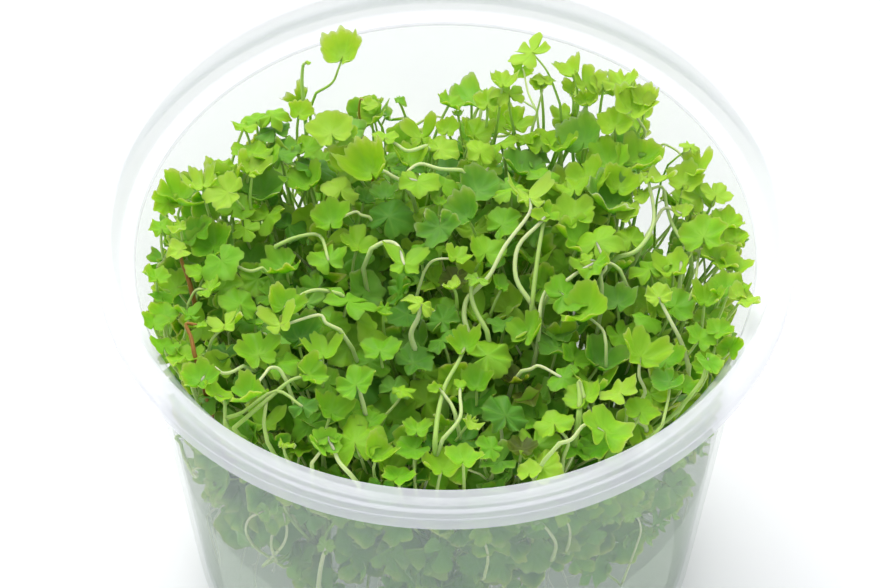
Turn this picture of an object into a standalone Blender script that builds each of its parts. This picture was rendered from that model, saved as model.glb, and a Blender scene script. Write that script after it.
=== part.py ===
"""Japanese pennywort plantlets on clear culture gel in a translucent plastic cup.

The origin is at the middle of the cup's underside, +Z up, and -Y faces the viewer.
"""

import math
import random
from dataclasses import dataclass

import bmesh
import bpy
from mathutils import Euler, Matrix, Vector
from mathutils.kdtree import KDTree

MM = 0.001

# Cup
CUP_HEIGHT = 72 * MM
LIP_RADIUS = 48 * MM
LIP_DEPTH = 3.4 * MM
LIP_ROUNDING = 0.5 * MM
SKIRT_DEPTH = 6.0 * MM
SKIRT_INSET = 0.4 * MM
MOUTH_RADIUS = 45.4 * MM
COLLAR_DEPTH = 5.0 * MM
COLLAR_DRAFT = 0.8 * MM
LEDGE_HEIGHT = CUP_HEIGHT - 5.8 * MM
LEDGE_OUTER_RADIUS = 43.2 * MM
WALL = 0.7 * MM
FLOOR = 0.9 * MM
WALL_TAPER = 0.0843
BASE_ROUNDING = 2.5 * MM
GAP = 0.3 * MM
TURN_STEPS = 48

# Culture gel
GEL_TOP = 27 * MM
MENISCUS_RISE = 1.2 * MM
MENISCUS_WIDTH = 2.4 * MM
GEL_BASE_ROUNDING = 3 * MM

# Plantlets
PLANTLET_COUNT = 48
LEAVES_EACH = 3
FOOT_SPREAD = 35 * MM
CANOPY_SPREAD = 1.14
GOLDEN_ANGLE = math.pi * (3 - math.sqrt(5))
STEM_HEIGHT = 5 * MM
STEM_RADIUS = 0.85 * MM
CROWN_HEIGHT = 1.6 * MM
PETIOLE_RADIUS = 0.55 * MM
PETIOLE_TIP_RADIUS = 0.28 * MM
PETIOLE_SPANS = 3
LEAF_RADII = (2.8 * MM, 3.9 * MM)
LEAF_THICKNESS = 0.5 * MM
BLADE_CUP = 0.12
LEAF_REACH = (1.0 * MM, 8.5 * MM)
LEAF_PITCH = (-25, 45)
HEADING_SPREAD = 60
PETIOLE_BEND = 3 * MM
SIDE_LEAN = 4 * MM
SIDE_ANGLES = (45, 135, 225, 315)
CREASE_ANGLE = math.radians(50)
CLEARANCE = 1.55 * MM
OWN_CLEARANCE = 1.35 * MM
FAN_SPACING = 1.7 * MM
WALL_CLEARANCE = 0.7 * MM
SAMPLE_STEP = 0.8 * MM
TRIES = 260
SEED = 48

# Canopy: the height of its middle, its unevenness and its fall towards the back of the cup
CANOPY_HEIGHT = 67.5 * MM
CANOPY_SWELL = 2.2 * MM
BACK_FALL = 13 * MM
BACK_FALL_START = 19 * MM
BACK_FALL_END = 40 * MM
BACK_CLUMP_WIDTH = 9 * MM
BACK_CLUMPS = (-21 * MM, 22 * MM)
LAYERS = ((1.5 * MM, 4.0 * MM), (3.0 * MM, 8.0 * MM), (6.0 * MM, 16.0 * MM))

# Leaf outline: three lobes, ears beside the petiole's notch, all as shares of the leaf's radius
LOBES = (-78.0, 0.0, 78.0)
LOBE_HALF_WIDTH = 22.0
NOTCH_SHARE = 0.7
EAR_ANGLE = 140.0
EAR_SHARE = 0.78
SINUS_SHARE = 0.16

# Colours: red, green, blue
PLASTIC = (0.86, 0.90, 0.90)
GEL = (0.90, 0.91, 0.84)
LEAF_GREENS = ((0.23, 0.47, 0.05), (0.15, 0.38, 0.05), (0.33, 0.55, 0.06), (0.10, 0.31, 0.06))


@dataclass(frozen=True)
class Leaf:
    """One leaf: where its petiole meets the blade, its size and its turn, in metres and degrees."""

    x: float
    y: float
    z: float
    radius: float
    heading: float
    pitch: float


# Leaves that stand out of the mass: the tallest, the lowest at the back and those along the rim
STANDOUT_LEAVES = (
    Leaf(-15.2 * MM, 28.6 * MM, 74.2 * MM, 3.1 * MM, 40, 24),
    Leaf(-20.2 * MM, 26.0 * MM, 73.0 * MM, 1.3 * MM, 100, 50),
    Leaf(11.0 * MM, 29.0 * MM, 73.0 * MM, 2.4 * MM, 200, 30),
    Leaf(13.8 * MM, 31.5 * MM, 74.5 * MM, 1.8 * MM, 70, 45),
    Leaf(19.0 * MM, 27.5 * MM, 71.0 * MM, 2.9 * MM, 120, 34),
    Leaf(26.0 * MM, 23.5 * MM, 70.5 * MM, 3.4 * MM, 20, 30),
    Leaf(34.2 * MM, 15.0 * MM, 69.5 * MM, 2.6 * MM, 60, 26),
    Leaf(37.6 * MM, 6.2 * MM, 68.6 * MM, 2.6 * MM, 80, 22),
    Leaf(35.4 * MM, -1.2 * MM, 70.0 * MM, 3.3 * MM, 20, 18),
    Leaf(36.4 * MM, -9.6 * MM, 69.0 * MM, 2.5 * MM, 150, 24),
    Leaf(40.4 * MM, -12.0 * MM, 69.6 * MM, 1.6 * MM, -17, -36),
    Leaf(25.4 * MM, -20.9 * MM, 70.4 * MM, 3.3 * MM, -50, 20),
    Leaf(-36.6 * MM, 7.6 * MM, 69.6 * MM, 3.2 * MM, 170, 18),
    Leaf(-30.0 * MM, 6.6 * MM, 69.2 * MM, 3.3 * MM, 110, 26),
    Leaf(-16.1 * MM, 17.1 * MM, 71.0 * MM, 3.3 * MM, 80, 34),
    Leaf(-29.2 * MM, 22.6 * MM, 66.2 * MM, 2.6 * MM, 150, 26),
    Leaf(-28.9 * MM, -17.1 * MM, 70.2 * MM, 2.0 * MM, 75, 56),
    Leaf(-21.4 * MM, -15.4 * MM, 69.4 * MM, 2.6 * MM, 10, 14),
    Leaf(-3.4 * MM, -13.1 * MM, 71.0 * MM, 2.1 * MM, 90, 40),
    Leaf(4.4 * MM, -8.6 * MM, 69.0 * MM, 2.0 * MM, -120, 20),
    Leaf(13.7 * MM, 5.9 * MM, 70.2 * MM, 2.8 * MM, -20, 16),
    Leaf(15.6 * MM, -31.8 * MM, 66.8 * MM, 2.9 * MM, -80, 20),
    Leaf(-12.5 * MM, -31.6 * MM, 66.8 * MM, 3.0 * MM, -110, 24),
    Leaf(2.5 * MM, 34.6 * MM, 58.0 * MM, 3.2 * MM, 180, 6),
    Leaf(-10.9 * MM, 31.8 * MM, 60.0 * MM, 1.8 * MM, 60, 30),
)


def smooth_step(value: float) -> float:
    """Ease a share from 0 to 1."""
    share = min(max(value, 0.0), 1.0)
    return share * share * (3 - 2 * share)


def wall_outer_radius(height: float) -> float:
    """Radius of the tapered wall's outside at a height."""
    return LEDGE_OUTER_RADIUS - (LEDGE_HEIGHT - height) * WALL_TAPER


def wall_inner_radius(height: float) -> float:
    """Radius of the tapered wall's inside at a height."""
    return wall_outer_radius(height) - WALL


def canopy_top(x: float, y: float) -> float:
    """Height of the leaf canopy over a place in the cup."""
    swell = math.sin(x / (9 * MM) + 0.6) * math.cos(y / (7 * MM) - 0.4)
    fall = smooth_step((y - BACK_FALL_START) / (BACK_FALL_END - BACK_FALL_START))
    for clump in BACK_CLUMPS:
        fall *= 1 - 0.75 * math.exp(-(((x - clump) / BACK_CLUMP_WIDTH) ** 2))
    return CANOPY_HEIGHT + CANOPY_SWELL * swell - BACK_FALL * fall


def make_material(name: str, colour: tuple, roughness: float, transmission: float = 0.0):
    """Make one Principled material."""
    material = bpy.data.materials.new(name)
    material.use_nodes = True
    shader = material.node_tree.nodes["Principled BSDF"]
    shader.inputs["Base Color"].default_value = (*colour, 1.0)
    shader.inputs["Roughness"].default_value = roughness
    shader.inputs["Metallic"].default_value = 0.0
    shader.inputs["Transmission Weight"].default_value = transmission
    return material


def turn(name: str, profile: list, material, collection):
    """Turn a profile of (radius, height) points about Z; it runs down its outer side."""
    mesh = bpy.data.meshes.new(name)
    corners = [(radius, 0.0, height) for radius, height in profile]
    mesh.from_pydata(corners, [(i, i + 1) for i in range(len(corners) - 1)], [])
    mesh.materials.append(material)
    solid = bpy.data.objects.new(name, mesh)
    collection.objects.link(solid)
    screw = solid.modifiers.new("Turn", "SCREW")
    screw.steps = TURN_STEPS
    screw.render_steps = TURN_STEPS
    screw.use_merge_vertices = True
    screw.merge_threshold = 0.00001
    screw.use_smooth_shade = True
    return solid


def cup_profile() -> list:
    """Cup section from the inner floor's middle, up the inside, over the lip and down the outside."""
    base_radius = wall_outer_radius(0.0)
    floor_edge = wall_inner_radius(BASE_ROUNDING)
    collar_foot = CUP_HEIGHT - COLLAR_DEPTH
    lip_foot = CUP_HEIGHT - LIP_DEPTH
    skirt_foot = CUP_HEIGHT - SKIRT_DEPTH
    skirt_radius = LIP_RADIUS - SKIRT_INSET
    return [
        (0.0, FLOOR),
        (floor_edge - BASE_ROUNDING * 0.7, FLOOR),
        (floor_edge, BASE_ROUNDING),
        (wall_inner_radius(LEDGE_HEIGHT), LEDGE_HEIGHT),
        (MOUTH_RADIUS - COLLAR_DRAFT, collar_foot),
        (MOUTH_RADIUS, CUP_HEIGHT - LIP_ROUNDING),
        (MOUTH_RADIUS + LIP_ROUNDING, CUP_HEIGHT),
        (LIP_RADIUS - LIP_ROUNDING, CUP_HEIGHT),
        (LIP_RADIUS, CUP_HEIGHT - LIP_ROUNDING),
        (LIP_RADIUS, lip_foot),
        (skirt_radius, lip_foot),
        (skirt_radius, skirt_foot),
        (skirt_radius - WALL, skirt_foot),
        (skirt_radius - WALL, lip_foot),
        (MOUTH_RADIUS + WALL, lip_foot),
        (MOUTH_RADIUS - COLLAR_DRAFT + WALL, collar_foot - WALL),
        (LEDGE_OUTER_RADIUS, LEDGE_HEIGHT - WALL),
        (wall_outer_radius(BASE_ROUNDING), BASE_ROUNDING),
        (base_radius - BASE_ROUNDING * 0.3, BASE_ROUNDING * 0.3),
        (base_radius - BASE_ROUNDING, 0.0),
        (0.0, 0.0),
    ]


def gel_profile() -> list:
    """Gel section: flat top, raised edge at the wall, tapered side and rounded foot."""
    edge_height = GEL_TOP + MENISCUS_RISE
    edge = wall_inner_radius(edge_height) - GAP
    foot_height = FLOOR + GAP
    foot = wall_inner_radius(GEL_BASE_ROUNDING) - GAP
    return [
        (0.0, GEL_TOP),
        (edge - MENISCUS_WIDTH, GEL_TOP),
        (edge - MENISCUS_WIDTH * 0.35, GEL_TOP + MENISCUS_RISE * 0.3),
        (edge, edge_height),
        (foot, GEL_BASE_ROUNDING),
        (foot - GEL_BASE_ROUNDING, foot_height),
        (0.0, foot_height),
    ]


def leaf_outline() -> list:
    """Outline of a leaf as (angle, share of radius) from the petiole, tip at angle 0."""
    points = [(180.0, SINUS_SHARE), (EAR_ANGLE, EAR_SHARE), (-EAR_ANGLE, EAR_SHARE)]
    for lobe in LOBES:
        points += [(lobe - LOBE_HALF_WIDTH, 1.0), (lobe + LOBE_HALF_WIDTH, 1.0)]
    for first, second in zip(LOBES, LOBES[1:]):
        points.append(((first + second) / 2, NOTCH_SHARE))
    return sorted(points)


def leaf_matrix(leaf: Leaf) -> Matrix:
    """Place of a leaf blade whose tip points along +X and whose face points up."""
    turned = Euler((0.0, -math.radians(leaf.pitch), math.radians(leaf.heading)), "XYZ")
    return Matrix.Translation((leaf.x, leaf.y, leaf.z)) @ turned.to_matrix().to_4x4()


def petiole_points(crown: Vector, leaf: Leaf, bend: Vector) -> list:
    """Curve of a petiole: up from the crown with a bend, then into the blade from below."""
    end = Vector((leaf.x, leaf.y, leaf.z))
    rise = (end - crown).z
    normal = leaf_matrix(leaf).to_3x3() @ Vector((0.0, 0.0, 1.0))
    first = crown + Vector((0.0, 0.0, rise * 0.4)) + bend
    last = end - normal * rise * 0.3
    points = []
    for i in range(PETIOLE_SPANS + 1):
        t = i / PETIOLE_SPANS
        s = 1 - t
        points.append(s**3 * crown + 3 * s * s * t * first + 3 * s * t * t * last + t**3 * end)
    return points


def ring(centre: Vector, along: Vector, start: Vector, radius: float) -> list:
    """Four corners square to a direction, the first on the same side as a start offset."""
    across = (start - along * start.dot(along)).normalized()
    side = along.cross(across)
    return [centre + radius * offset for offset in (across, side, -across, -side)]


def extrude_to(shape, face, centre: Vector, along: Vector, radius: float):
    """Extrude a four-sided face and set it down square to a direction."""
    offset = face.verts[0].co - face.calc_center_median()
    grown = bmesh.ops.extrude_discrete_faces(shape, faces=[face])["faces"][0]
    for vert, corner in zip(grown.verts, ring(centre, along, offset, radius)):
        vert.co = corner
    return grown


def grow_petiole(shape, face, route: list, leaf: Leaf):
    """Extrude a petiole from a face of the crown along its route to the underside of the blade."""
    normal = leaf_matrix(leaf).to_3x3() @ Vector((0.0, 0.0, 1.0))
    for i in range(1, len(route) - 1):
        along = (route[i + 1] - route[i - 1]).normalized()
        face = extrude_to(shape, face, route[i], along, PETIOLE_RADIUS)
    under = route[-1] - normal * LEAF_THICKNESS / 2
    return extrude_to(shape, face, under, normal, PETIOLE_TIP_RADIUS)


def grow_blade(shape, face, leaf: Leaf) -> None:
    """Open the petiole's end into a thin lobed blade, thickest in its middle and sharp at its edge."""
    outline = leaf_outline()
    cone = bmesh.ops.create_cone(
        shape, cap_ends=False, segments=len(outline), radius1=1.0, radius2=0.0, depth=1.0
    )
    matrix = leaf_matrix(leaf)
    rim = sorted((v for v in cone["verts"] if v.co.z < 0), key=lambda v: math.atan2(v.co.y, v.co.x))
    tops = [v for v in cone["verts"] if v.co.z > 0]
    for vert, (angle, share) in zip(rim, outline):
        vert.co = matrix @ blade_edge(leaf, angle, share)
    for vert in tops:
        vert.co = matrix @ Vector((0.0, 0.0, LEAF_THICKNESS / 2))
    inner = list(face.verts)
    shape.faces.remove(face)
    loft_underside(shape, rim, inner, matrix.inverted())
    bmesh.ops.remove_doubles(shape, verts=tops, dist=1e-7)


def loft_underside(shape, rim: list, inner: list, into_blade: Matrix) -> None:
    """Join the blade's lobed rim to the four corners of its petiole."""

    def turned(vert) -> float:
        place = into_blade @ vert.co
        return math.atan2(place.y, place.x)

    def nearest(angle: float):
        return min(inner, key=lambda vert: abs(math.remainder(turned(vert) - angle, math.tau)))

    pairs = list(zip(rim, rim[1:] + rim[:1]))
    middles = [math.atan2(*reversed((into_blade @ ((a.co + b.co) / 2)).xy)) for a, b in pairs]
    corners = [nearest(angle) for angle in middles]
    for i, (first, second) in enumerate(pairs):
        shape.faces.new((second, first, corners[i]))
        if corners[i] is not corners[i - 1]:
            shape.faces.new((first, corners[i - 1], corners[i]))


def blade_edge(leaf: Leaf, angle: float, share: float) -> Vector:
    """A point of the blade's edge in the blade's own frame, raised a little towards the tip."""
    reach = leaf.radius * share
    turned = math.radians(angle)
    return Vector((reach * math.cos(turned), reach * math.sin(turned), BLADE_CUP * reach * share))


def side_face(shape, crown: Vector, side: Vector):
    """The crown's face that looks out to one side."""
    around = [face for face in shape.faces if face.calc_center_median().z > crown.z]
    return max(around, key=lambda face: face.normal.dot(side))


def build_plantlet(name: str, foot: Vector, grown: list, material, collection):
    """Build one plantlet in one grown piece: a short stem, its petioles and its leaf blades."""
    shape = bmesh.new()
    stem = Matrix.Translation(foot + Vector((0.0, 0.0, STEM_HEIGHT / 2)))
    bmesh.ops.create_cone(
        shape, cap_ends=True, segments=4, radius1=STEM_RADIUS, radius2=STEM_RADIUS, depth=STEM_HEIGHT, matrix=stem
    )
    crown = foot + Vector((0.0, 0.0, STEM_HEIGHT))
    top = max(shape.faces, key=lambda face: face.calc_center_median().z)
    top = extrude_to(shape, top, crown + Vector((0.0, 0.0, CROWN_HEIGHT)), Vector((0.0, 0.0, 1.0)), STEM_RADIUS)
    shape.normal_update()
    starts = [side_face(shape, crown, side) if side else top for _, _, side in grown]
    for face, (leaf, route, _) in zip(starts, grown):
        grow_blade(shape, grow_petiole(shape, face, route, leaf), leaf)
    bmesh.ops.recalc_face_normals(shape, faces=shape.faces)
    mesh = bpy.data.meshes.new(name)
    shape.to_mesh(mesh)
    shape.free()
    mesh.materials.append(material)
    mesh.shade_smooth()
    mesh.set_sharp_from_angle(angle=CREASE_ANGLE)
    solid = bpy.data.objects.new(name, mesh)
    collection.objects.link(solid)
    return solid


def samples(leaf: Leaf, route: list) -> list:
    """Points along a petiole and over its blade, for keeping leaves apart."""
    points = []
    for start, end in zip(route, route[1:]):
        count = math.ceil((end - start).length / SAMPLE_STEP)
        points += [start.lerp(end, i / count) for i in range(count + 1)]
    matrix = leaf_matrix(leaf)
    for angle, share in leaf_outline():
        edge = blade_edge(leaf, angle, share)
        count = math.ceil(edge.length / SAMPLE_STEP)
        points += [matrix @ (edge * (i / count)) for i in range(count + 1)]
    return points


def stem_samples(foot: Vector) -> list:
    """Points up a plantlet's stem."""
    return [foot + Vector((0.0, 0.0, height * MM)) for height in range(round(STEM_HEIGHT / MM) + 1)]


def is_inside(points: list) -> bool:
    """Whether points keep clear of the cup's wall."""
    for point in points:
        limit = wall_inner_radius(point.z) if point.z < LEDGE_HEIGHT + MM else MOUTH_RADIUS - COLLAR_DRAFT
        if point.xy.length > limit - WALL_CLEARANCE:
            return False
    return True


def is_clear(points: list, taken, clearance: float) -> bool:
    """Whether points keep clear of the points already taken."""
    return not taken or all(taken.find(point)[2] >= clearance for point in points)


def feet() -> list:
    """Where the plantlets stand: a spiral of even spacing over the gel."""
    places = []
    for i in range(PLANTLET_COUNT):
        radius = FOOT_SPREAD * math.sqrt((i + 0.4) / PLANTLET_COUNT)
        angle = i * GOLDEN_ANGLE
        places.append(Vector((radius * math.cos(angle), radius * math.sin(angle), GEL_TOP + GAP)))
    return places


def share_standouts(places: list) -> list:
    """Give each standout leaf to the nearest plantlet that still has room for it."""
    owned = [[] for _ in places]
    for leaf in STANDOUT_LEAVES:
        above = Vector((leaf.x, leaf.y)) / CANOPY_SPREAD
        order = sorted(range(len(places)), key=lambda i: (places[i].xy - above).length)
        nearest = next(i for i in order if len(owned[i]) < LEAVES_EACH)
        owned[nearest].append(leaf)
    return owned


def draw_leaf(rng: random.Random, foot: Vector, number: int) -> Leaf:
    """Draw one leaf of the canopy over a plantlet's foot."""
    angle = rng.uniform(0, math.tau)
    reach = rng.uniform(*LEAF_REACH)
    place = foot.xy * CANOPY_SPREAD + reach * Vector((math.cos(angle), math.sin(angle)))
    radius = rng.uniform(*LEAF_RADII)
    depth = rng.uniform(*LAYERS[number])
    height = canopy_top(*place) - depth
    limit = wall_inner_radius(height) - WALL_CLEARANCE - radius * 0.9
    if place.length > limit:
        place *= limit / place.length
    heading = math.degrees(angle) + rng.uniform(-HEADING_SPREAD, HEADING_SPREAD)
    return Leaf(place.x, place.y, height, radius, heading, rng.uniform(*LEAF_PITCH))


def draw_bend(rng: random.Random) -> Vector:
    """Draw the sideways bend of a petiole."""
    return Vector((rng.uniform(-PETIOLE_BEND, PETIOLE_BEND), rng.uniform(-PETIOLE_BEND, PETIOLE_BEND), 0.0))


def free_side(grown: list, crown: Vector, leaf: Leaf):
    """The side of the crown that a leaf's petiole leaves from; the first petiole leaves upwards."""
    if not grown:
        return None
    taken = [side for _, _, side in grown if side]
    towards = Vector((leaf.x, leaf.y, 0.0)) - Vector((crown.x, crown.y, 0.0))
    turned = [math.radians(angle) for angle in SIDE_ANGLES]
    sides = [Vector((math.cos(angle), math.sin(angle), 0.0)) for angle in turned]
    return max((side for side in sides if side not in taken), key=lambda side: side.dot(towards))


def fans_out(grown: list, crown: Vector, route: list, side: Vector) -> bool:
    """Whether a petiole leaves the crown outwards, clear of the petioles beside it."""
    if side and (route[1] - crown).dot(side) < FAN_SPACING:
        return False
    for _, other, other_side in grown:
        apart = route[1] - other[1]
        outwards = [apart.dot(side)] if side else []
        outwards += [-apart.dot(other_side)] if other_side else []
        if apart.length < FAN_SPACING or min(outwards) < FAN_SPACING / 2:
            return False
    return True


def place_leaf(rng: random.Random, foot: Vector, number: int, fixed, grown: list, taken, centres: list):
    """Find the roomiest of several leaves, with its petiole's route and side, that touches nothing."""
    crown = foot + Vector((0.0, 0.0, STEM_HEIGHT + CROWN_HEIGHT / 2))
    own = make_tree([point for leaf, route, _ in grown for point in samples(leaf, route[1:])])
    best, best_room = None, 0.0
    for _ in range(TRIES):
        leaf = fixed or draw_leaf(rng, foot, number)
        side = free_side(grown, crown, leaf)
        bend = draw_bend(rng) + side * SIDE_LEAN if side else draw_bend(rng)
        route = petiole_points(crown, leaf, bend)
        middle = Vector((leaf.x, leaf.y))
        room = min(((middle - other).length for other in centres), default=LIP_RADIUS)
        if room <= best_room or not fans_out(grown, crown, route, side):
            continue
        points = samples(leaf, route)
        if not is_inside(points) or not is_clear(points, taken, CLEARANCE):
            continue
        if is_clear(samples(leaf, route[1:]), own, OWN_CLEARANCE):
            best, best_room = (leaf, route, side), room
    return best


def grow_layout() -> list:
    """Work out every plantlet's foot and its leaves, petiole routes and sides, so that none touch."""
    places = feet()
    owned = share_standouts(places)
    rng = random.Random(SEED)
    plan = [[] for _ in places]
    taken = [point for place in places for point in stem_samples(place)]
    centres = [Vector((leaf.x, leaf.y)) for leaf in STANDOUT_LEAVES]
    for i in sorted(range(len(places)), key=lambda index: -len(owned[index])):
        own_stem = stem_samples(places[i])
        tree = make_tree([point for point in taken if point not in own_stem])
        for number, fixed in enumerate(owned[i] + [None] * (LEAVES_EACH - len(owned[i]))):
            found = place_leaf(rng, places[i], number, fixed, plan[i], tree, [] if fixed else centres)
            if found:
                plan[i].append(found)
                centres.append(Vector((found[0].x, found[0].y)))
        taken += [point for leaf, route, _ in plan[i] for point in samples(leaf, route)]
    return [(place, grown) for place, grown in zip(places, plan) if grown]


def make_tree(points: list):
    """Make a search tree of the taken points, or nothing while there are none."""
    if not points:
        return None
    tree = KDTree(len(points))
    for index, point in enumerate(points):
        tree.insert(point, index)
    tree.balance()
    return tree


def main() -> None:
    """Build the filled cup."""
    for old in list(bpy.data.objects):
        bpy.data.objects.remove(old)
    collection = bpy.data.collections.new("japanese_pennywort")
    bpy.context.scene.collection.children.link(collection)
    plastic = make_material("cup_plastic", PLASTIC, 0.3, 0.8)
    gel = make_material("gel", GEL, 0.2, 0.8)
    greens = [make_material(f"leaf_green_{i + 1}", green, 0.45) for i, green in enumerate(LEAF_GREENS)]
    turn("cup", cup_profile(), plastic, collection)
    turn("culture_gel", gel_profile(), gel, collection)
    for i, (foot, grown) in enumerate(grow_layout()):
        build_plantlet(f"plantlet_{i + 1:02d}", foot, grown, greens[i % len(greens)], collection)


main()
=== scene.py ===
"""Visual model of a translucent cup of Japanese pennywort plantlets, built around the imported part.

Each plantlet, the cup and the gel get a finer piece in place of their CAD node.
"""

import logging
import math
import random
from dataclasses import dataclass, replace
from enum import Enum

import bpy
import numpy as np
from mathutils import Matrix, Vector
from mathutils.geometry import normal as face_normal

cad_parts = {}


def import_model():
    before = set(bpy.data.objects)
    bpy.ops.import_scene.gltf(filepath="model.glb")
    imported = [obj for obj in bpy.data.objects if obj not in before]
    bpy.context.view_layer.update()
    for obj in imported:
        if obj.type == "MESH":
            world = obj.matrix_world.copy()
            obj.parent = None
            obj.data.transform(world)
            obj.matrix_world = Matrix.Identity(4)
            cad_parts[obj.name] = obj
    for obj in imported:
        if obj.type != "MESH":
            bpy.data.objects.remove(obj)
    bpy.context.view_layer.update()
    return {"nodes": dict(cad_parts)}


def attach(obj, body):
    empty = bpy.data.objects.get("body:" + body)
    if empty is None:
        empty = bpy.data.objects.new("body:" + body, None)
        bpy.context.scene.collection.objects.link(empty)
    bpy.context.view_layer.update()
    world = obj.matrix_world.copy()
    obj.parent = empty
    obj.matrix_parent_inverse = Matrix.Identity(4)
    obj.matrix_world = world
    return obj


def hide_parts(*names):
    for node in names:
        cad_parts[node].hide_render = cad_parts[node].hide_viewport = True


LOG = logging.getLogger("pennywort")
MM = 0.001
UP = Vector((0.0, 0.0, 1.0))
GOLDEN = math.pi * (3 - math.sqrt(5))


class Lobing(Enum):
    """Lobed outlines: each lobe is a circle (degrees, distance, radius) in shares of the leaf's radius."""

    THREE = ((0, 0.56, 0.40), (74, 0.50, 0.39), (-74, 0.50, 0.39), (136, 0.36, 0.33), (-136, 0.36, 0.33))
    BROAD = ((0, 0.48, 0.48), (68, 0.46, 0.46), (-68, 0.46, 0.46), (130, 0.36, 0.38), (-130, 0.36, 0.38))
    ROUND = ((0, 0.38, 0.58), (68, 0.38, 0.54), (-68, 0.38, 0.54), (128, 0.34, 0.44), (-128, 0.34, 0.44))
    DEEP = ((0, 0.62, 0.34), (64, 0.58, 0.32), (-64, 0.58, 0.32), (126, 0.44, 0.29), (-126, 0.44, 0.29))
    PAIR = ((46, 0.58, 0.38), (-46, 0.58, 0.38), (128, 0.26, 0.26), (-128, 0.26, 0.26))
    NARROW = ((0, 0.60, 0.36), (28, 0.40, 0.26), (-28, 0.40, 0.26))
    BUD = ((0, 0.46, 0.40), (60, 0.34, 0.34), (-60, 0.34, 0.34))


@dataclass(frozen=True)
class PhotoView:
    """The photograph's camera as fitted to the cup's rim."""

    width: int = 880
    height: int = 588
    focal: float = 3154.0
    distance: float = 420 * MM
    elevation: float = math.radians(50.44)
    aim: tuple[float, float, float] = (-0.75 * MM, -13.39 * MM, 72 * MM)
    sensor: float = 36.0
    clip_start: float = 0.01

    @property
    def right(self) -> Vector:
        """Image direction towards the right."""
        return Vector((1.0, 0.0, 0.0))

    @property
    def up(self) -> Vector:
        """Image direction upwards."""
        return Vector((0.0, math.sin(self.elevation), math.cos(self.elevation)))

    @property
    def forward(self) -> Vector:
        """Direction in which the camera looks."""
        return Vector((0.0, math.cos(self.elevation), -math.sin(self.elevation)))

    @property
    def eye(self) -> Vector:
        """Place of the camera."""
        return Vector(self.aim) - self.forward * self.distance

    def at_height(self, x: float, y: float, height: float) -> Vector:
        """Find the place that a pixel shows at one height.

        Args:
            x: Pixel column.
            y: Pixel row.
            height: Height over the cup's base in metres.

        Returns:
            The place in metres.
        """
        ray = self.forward + self.right * ((x - self.width / 2) / self.focal)
        ray -= self.up * ((y - self.height / 2) / self.focal)
        return self.eye + ray * ((height - self.eye.z) / ray.z)

    def length(self, pixels: float, place: Vector) -> float:
        """Turn a length in pixels into metres."""
        return pixels * (place - self.eye).dot(self.forward) / self.focal

    def pixel(self, place: Vector) -> Vector:
        """Find the pixel in which a place shows.

        Args:
            place: Place in metres.

        Returns:
            Its column and row.
        """
        ray = place - self.eye
        scale = self.focal / ray.dot(self.forward)
        across, down = ray.dot(self.right) * scale, -ray.dot(self.up) * scale
        return Vector((self.width / 2 + across, self.height / 2 + down))

    def tip_direction(self, face: Vector, heading: float) -> Vector:
        """Find the direction in a leaf's plane that runs along an image heading.

        Args:
            face: Unit normal of the leaf.
            heading: Degrees in the image, 0 to the right and 90 up.

        Returns:
            A unit vector square to the normal.
        """
        across = self.right * math.cos(math.radians(heading)) + self.up * math.sin(math.radians(heading))
        depth = -across.dot(face) / self.forward.dot(face)
        return (across + self.forward * depth).normalized()


@dataclass(frozen=True)
class CupSize:
    """The sections of the cup and the gel, as in their CAD nodes but for the lip's softer edges."""

    height: float = 72 * MM
    lip_radius: float = 48 * MM
    lip_depth: float = 3.4 * MM
    lip_rounding: float = 0.5 * MM
    skirt_depth: float = 6.0 * MM
    skirt_inset: float = 0.4 * MM
    mouth_radius: float = 45.4 * MM
    collar_depth: float = 5.0 * MM
    collar_draft: float = 0.8 * MM
    ledge_height: float = 66.2 * MM
    ledge_radius: float = 43.2 * MM
    wall: float = 0.7 * MM
    floor: float = 0.9 * MM
    taper: float = 0.0843
    base_rounding: float = 2.5 * MM
    gap: float = 0.3 * MM
    gel_top: float = 27 * MM
    meniscus: float = 1.2 * MM
    meniscus_width: float = 2.4 * MM
    gel_rounding: float = 3 * MM
    rounding: float = 0.3 * MM
    collar_rounding: float = 0.35 * MM
    lip_edges: tuple[float, float, float] = (1.2 * MM, 0.18 * MM, 0.15 * MM)
    meniscus_start: float = 0.6
    meniscus_bend: float = 0.55
    meniscus_rounding: float = 0.2 * MM
    zone_margin: float = 0.5 * MM
    rounding_share: float = 0.48
    smooth_angle: float = math.radians(50)
    segments: int = 192

    def inner_radius(self, height: float) -> float:
        """Find the inside radius of the tapered wall."""
        return self.ledge_radius - (self.ledge_height - height) * self.taper - self.wall

    def room(self, height: float) -> float:
        """Find how far out leaves may reach at a height.

        Args:
            height: Height over the base in metres.

        Returns:
            The radius in metres.
        """
        if height > self.height:
            return self.lip_radius
        if height > self.ledge_height + MM:
            return self.mouth_radius - self.collar_draft
        return self.inner_radius(height)


@dataclass(frozen=True)
class CanopyShape:
    """The foliage's top surface, as in the CAD source."""

    height: float = 67.5 * MM
    swell: float = 2.2 * MM
    fall: float = 13 * MM
    fall_start: float = 19 * MM
    fall_end: float = 40 * MM
    clump_width: float = 9 * MM
    clumps: tuple[float, float] = (-21 * MM, 22 * MM)
    clump_share: float = 0.75
    waves: tuple[float, float] = (9 * MM, 7 * MM)
    wave_starts: tuple[float, float] = (0.6, -0.4)

    def top(self, x: float, y: float) -> float:
        """Find the canopy's height over a place.

        Args:
            x: Place across the cup in metres.
            y: Place along the view in metres.

        Returns:
            The height in metres.
        """
        turns = [place / wave + start for place, wave, start in zip((x, y), self.waves, self.wave_starts)]
        swell = math.sin(turns[0]) * math.cos(turns[1])
        share = min(max((y - self.fall_start) / (self.fall_end - self.fall_start), 0.0), 1.0)
        fall = share * share * (3 - 2 * share)
        for clump in self.clumps:
            fall *= 1 - self.clump_share * math.exp(-(((x - clump) / self.clump_width) ** 2))
        return self.height + self.swell * swell - self.fall * fall


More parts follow.
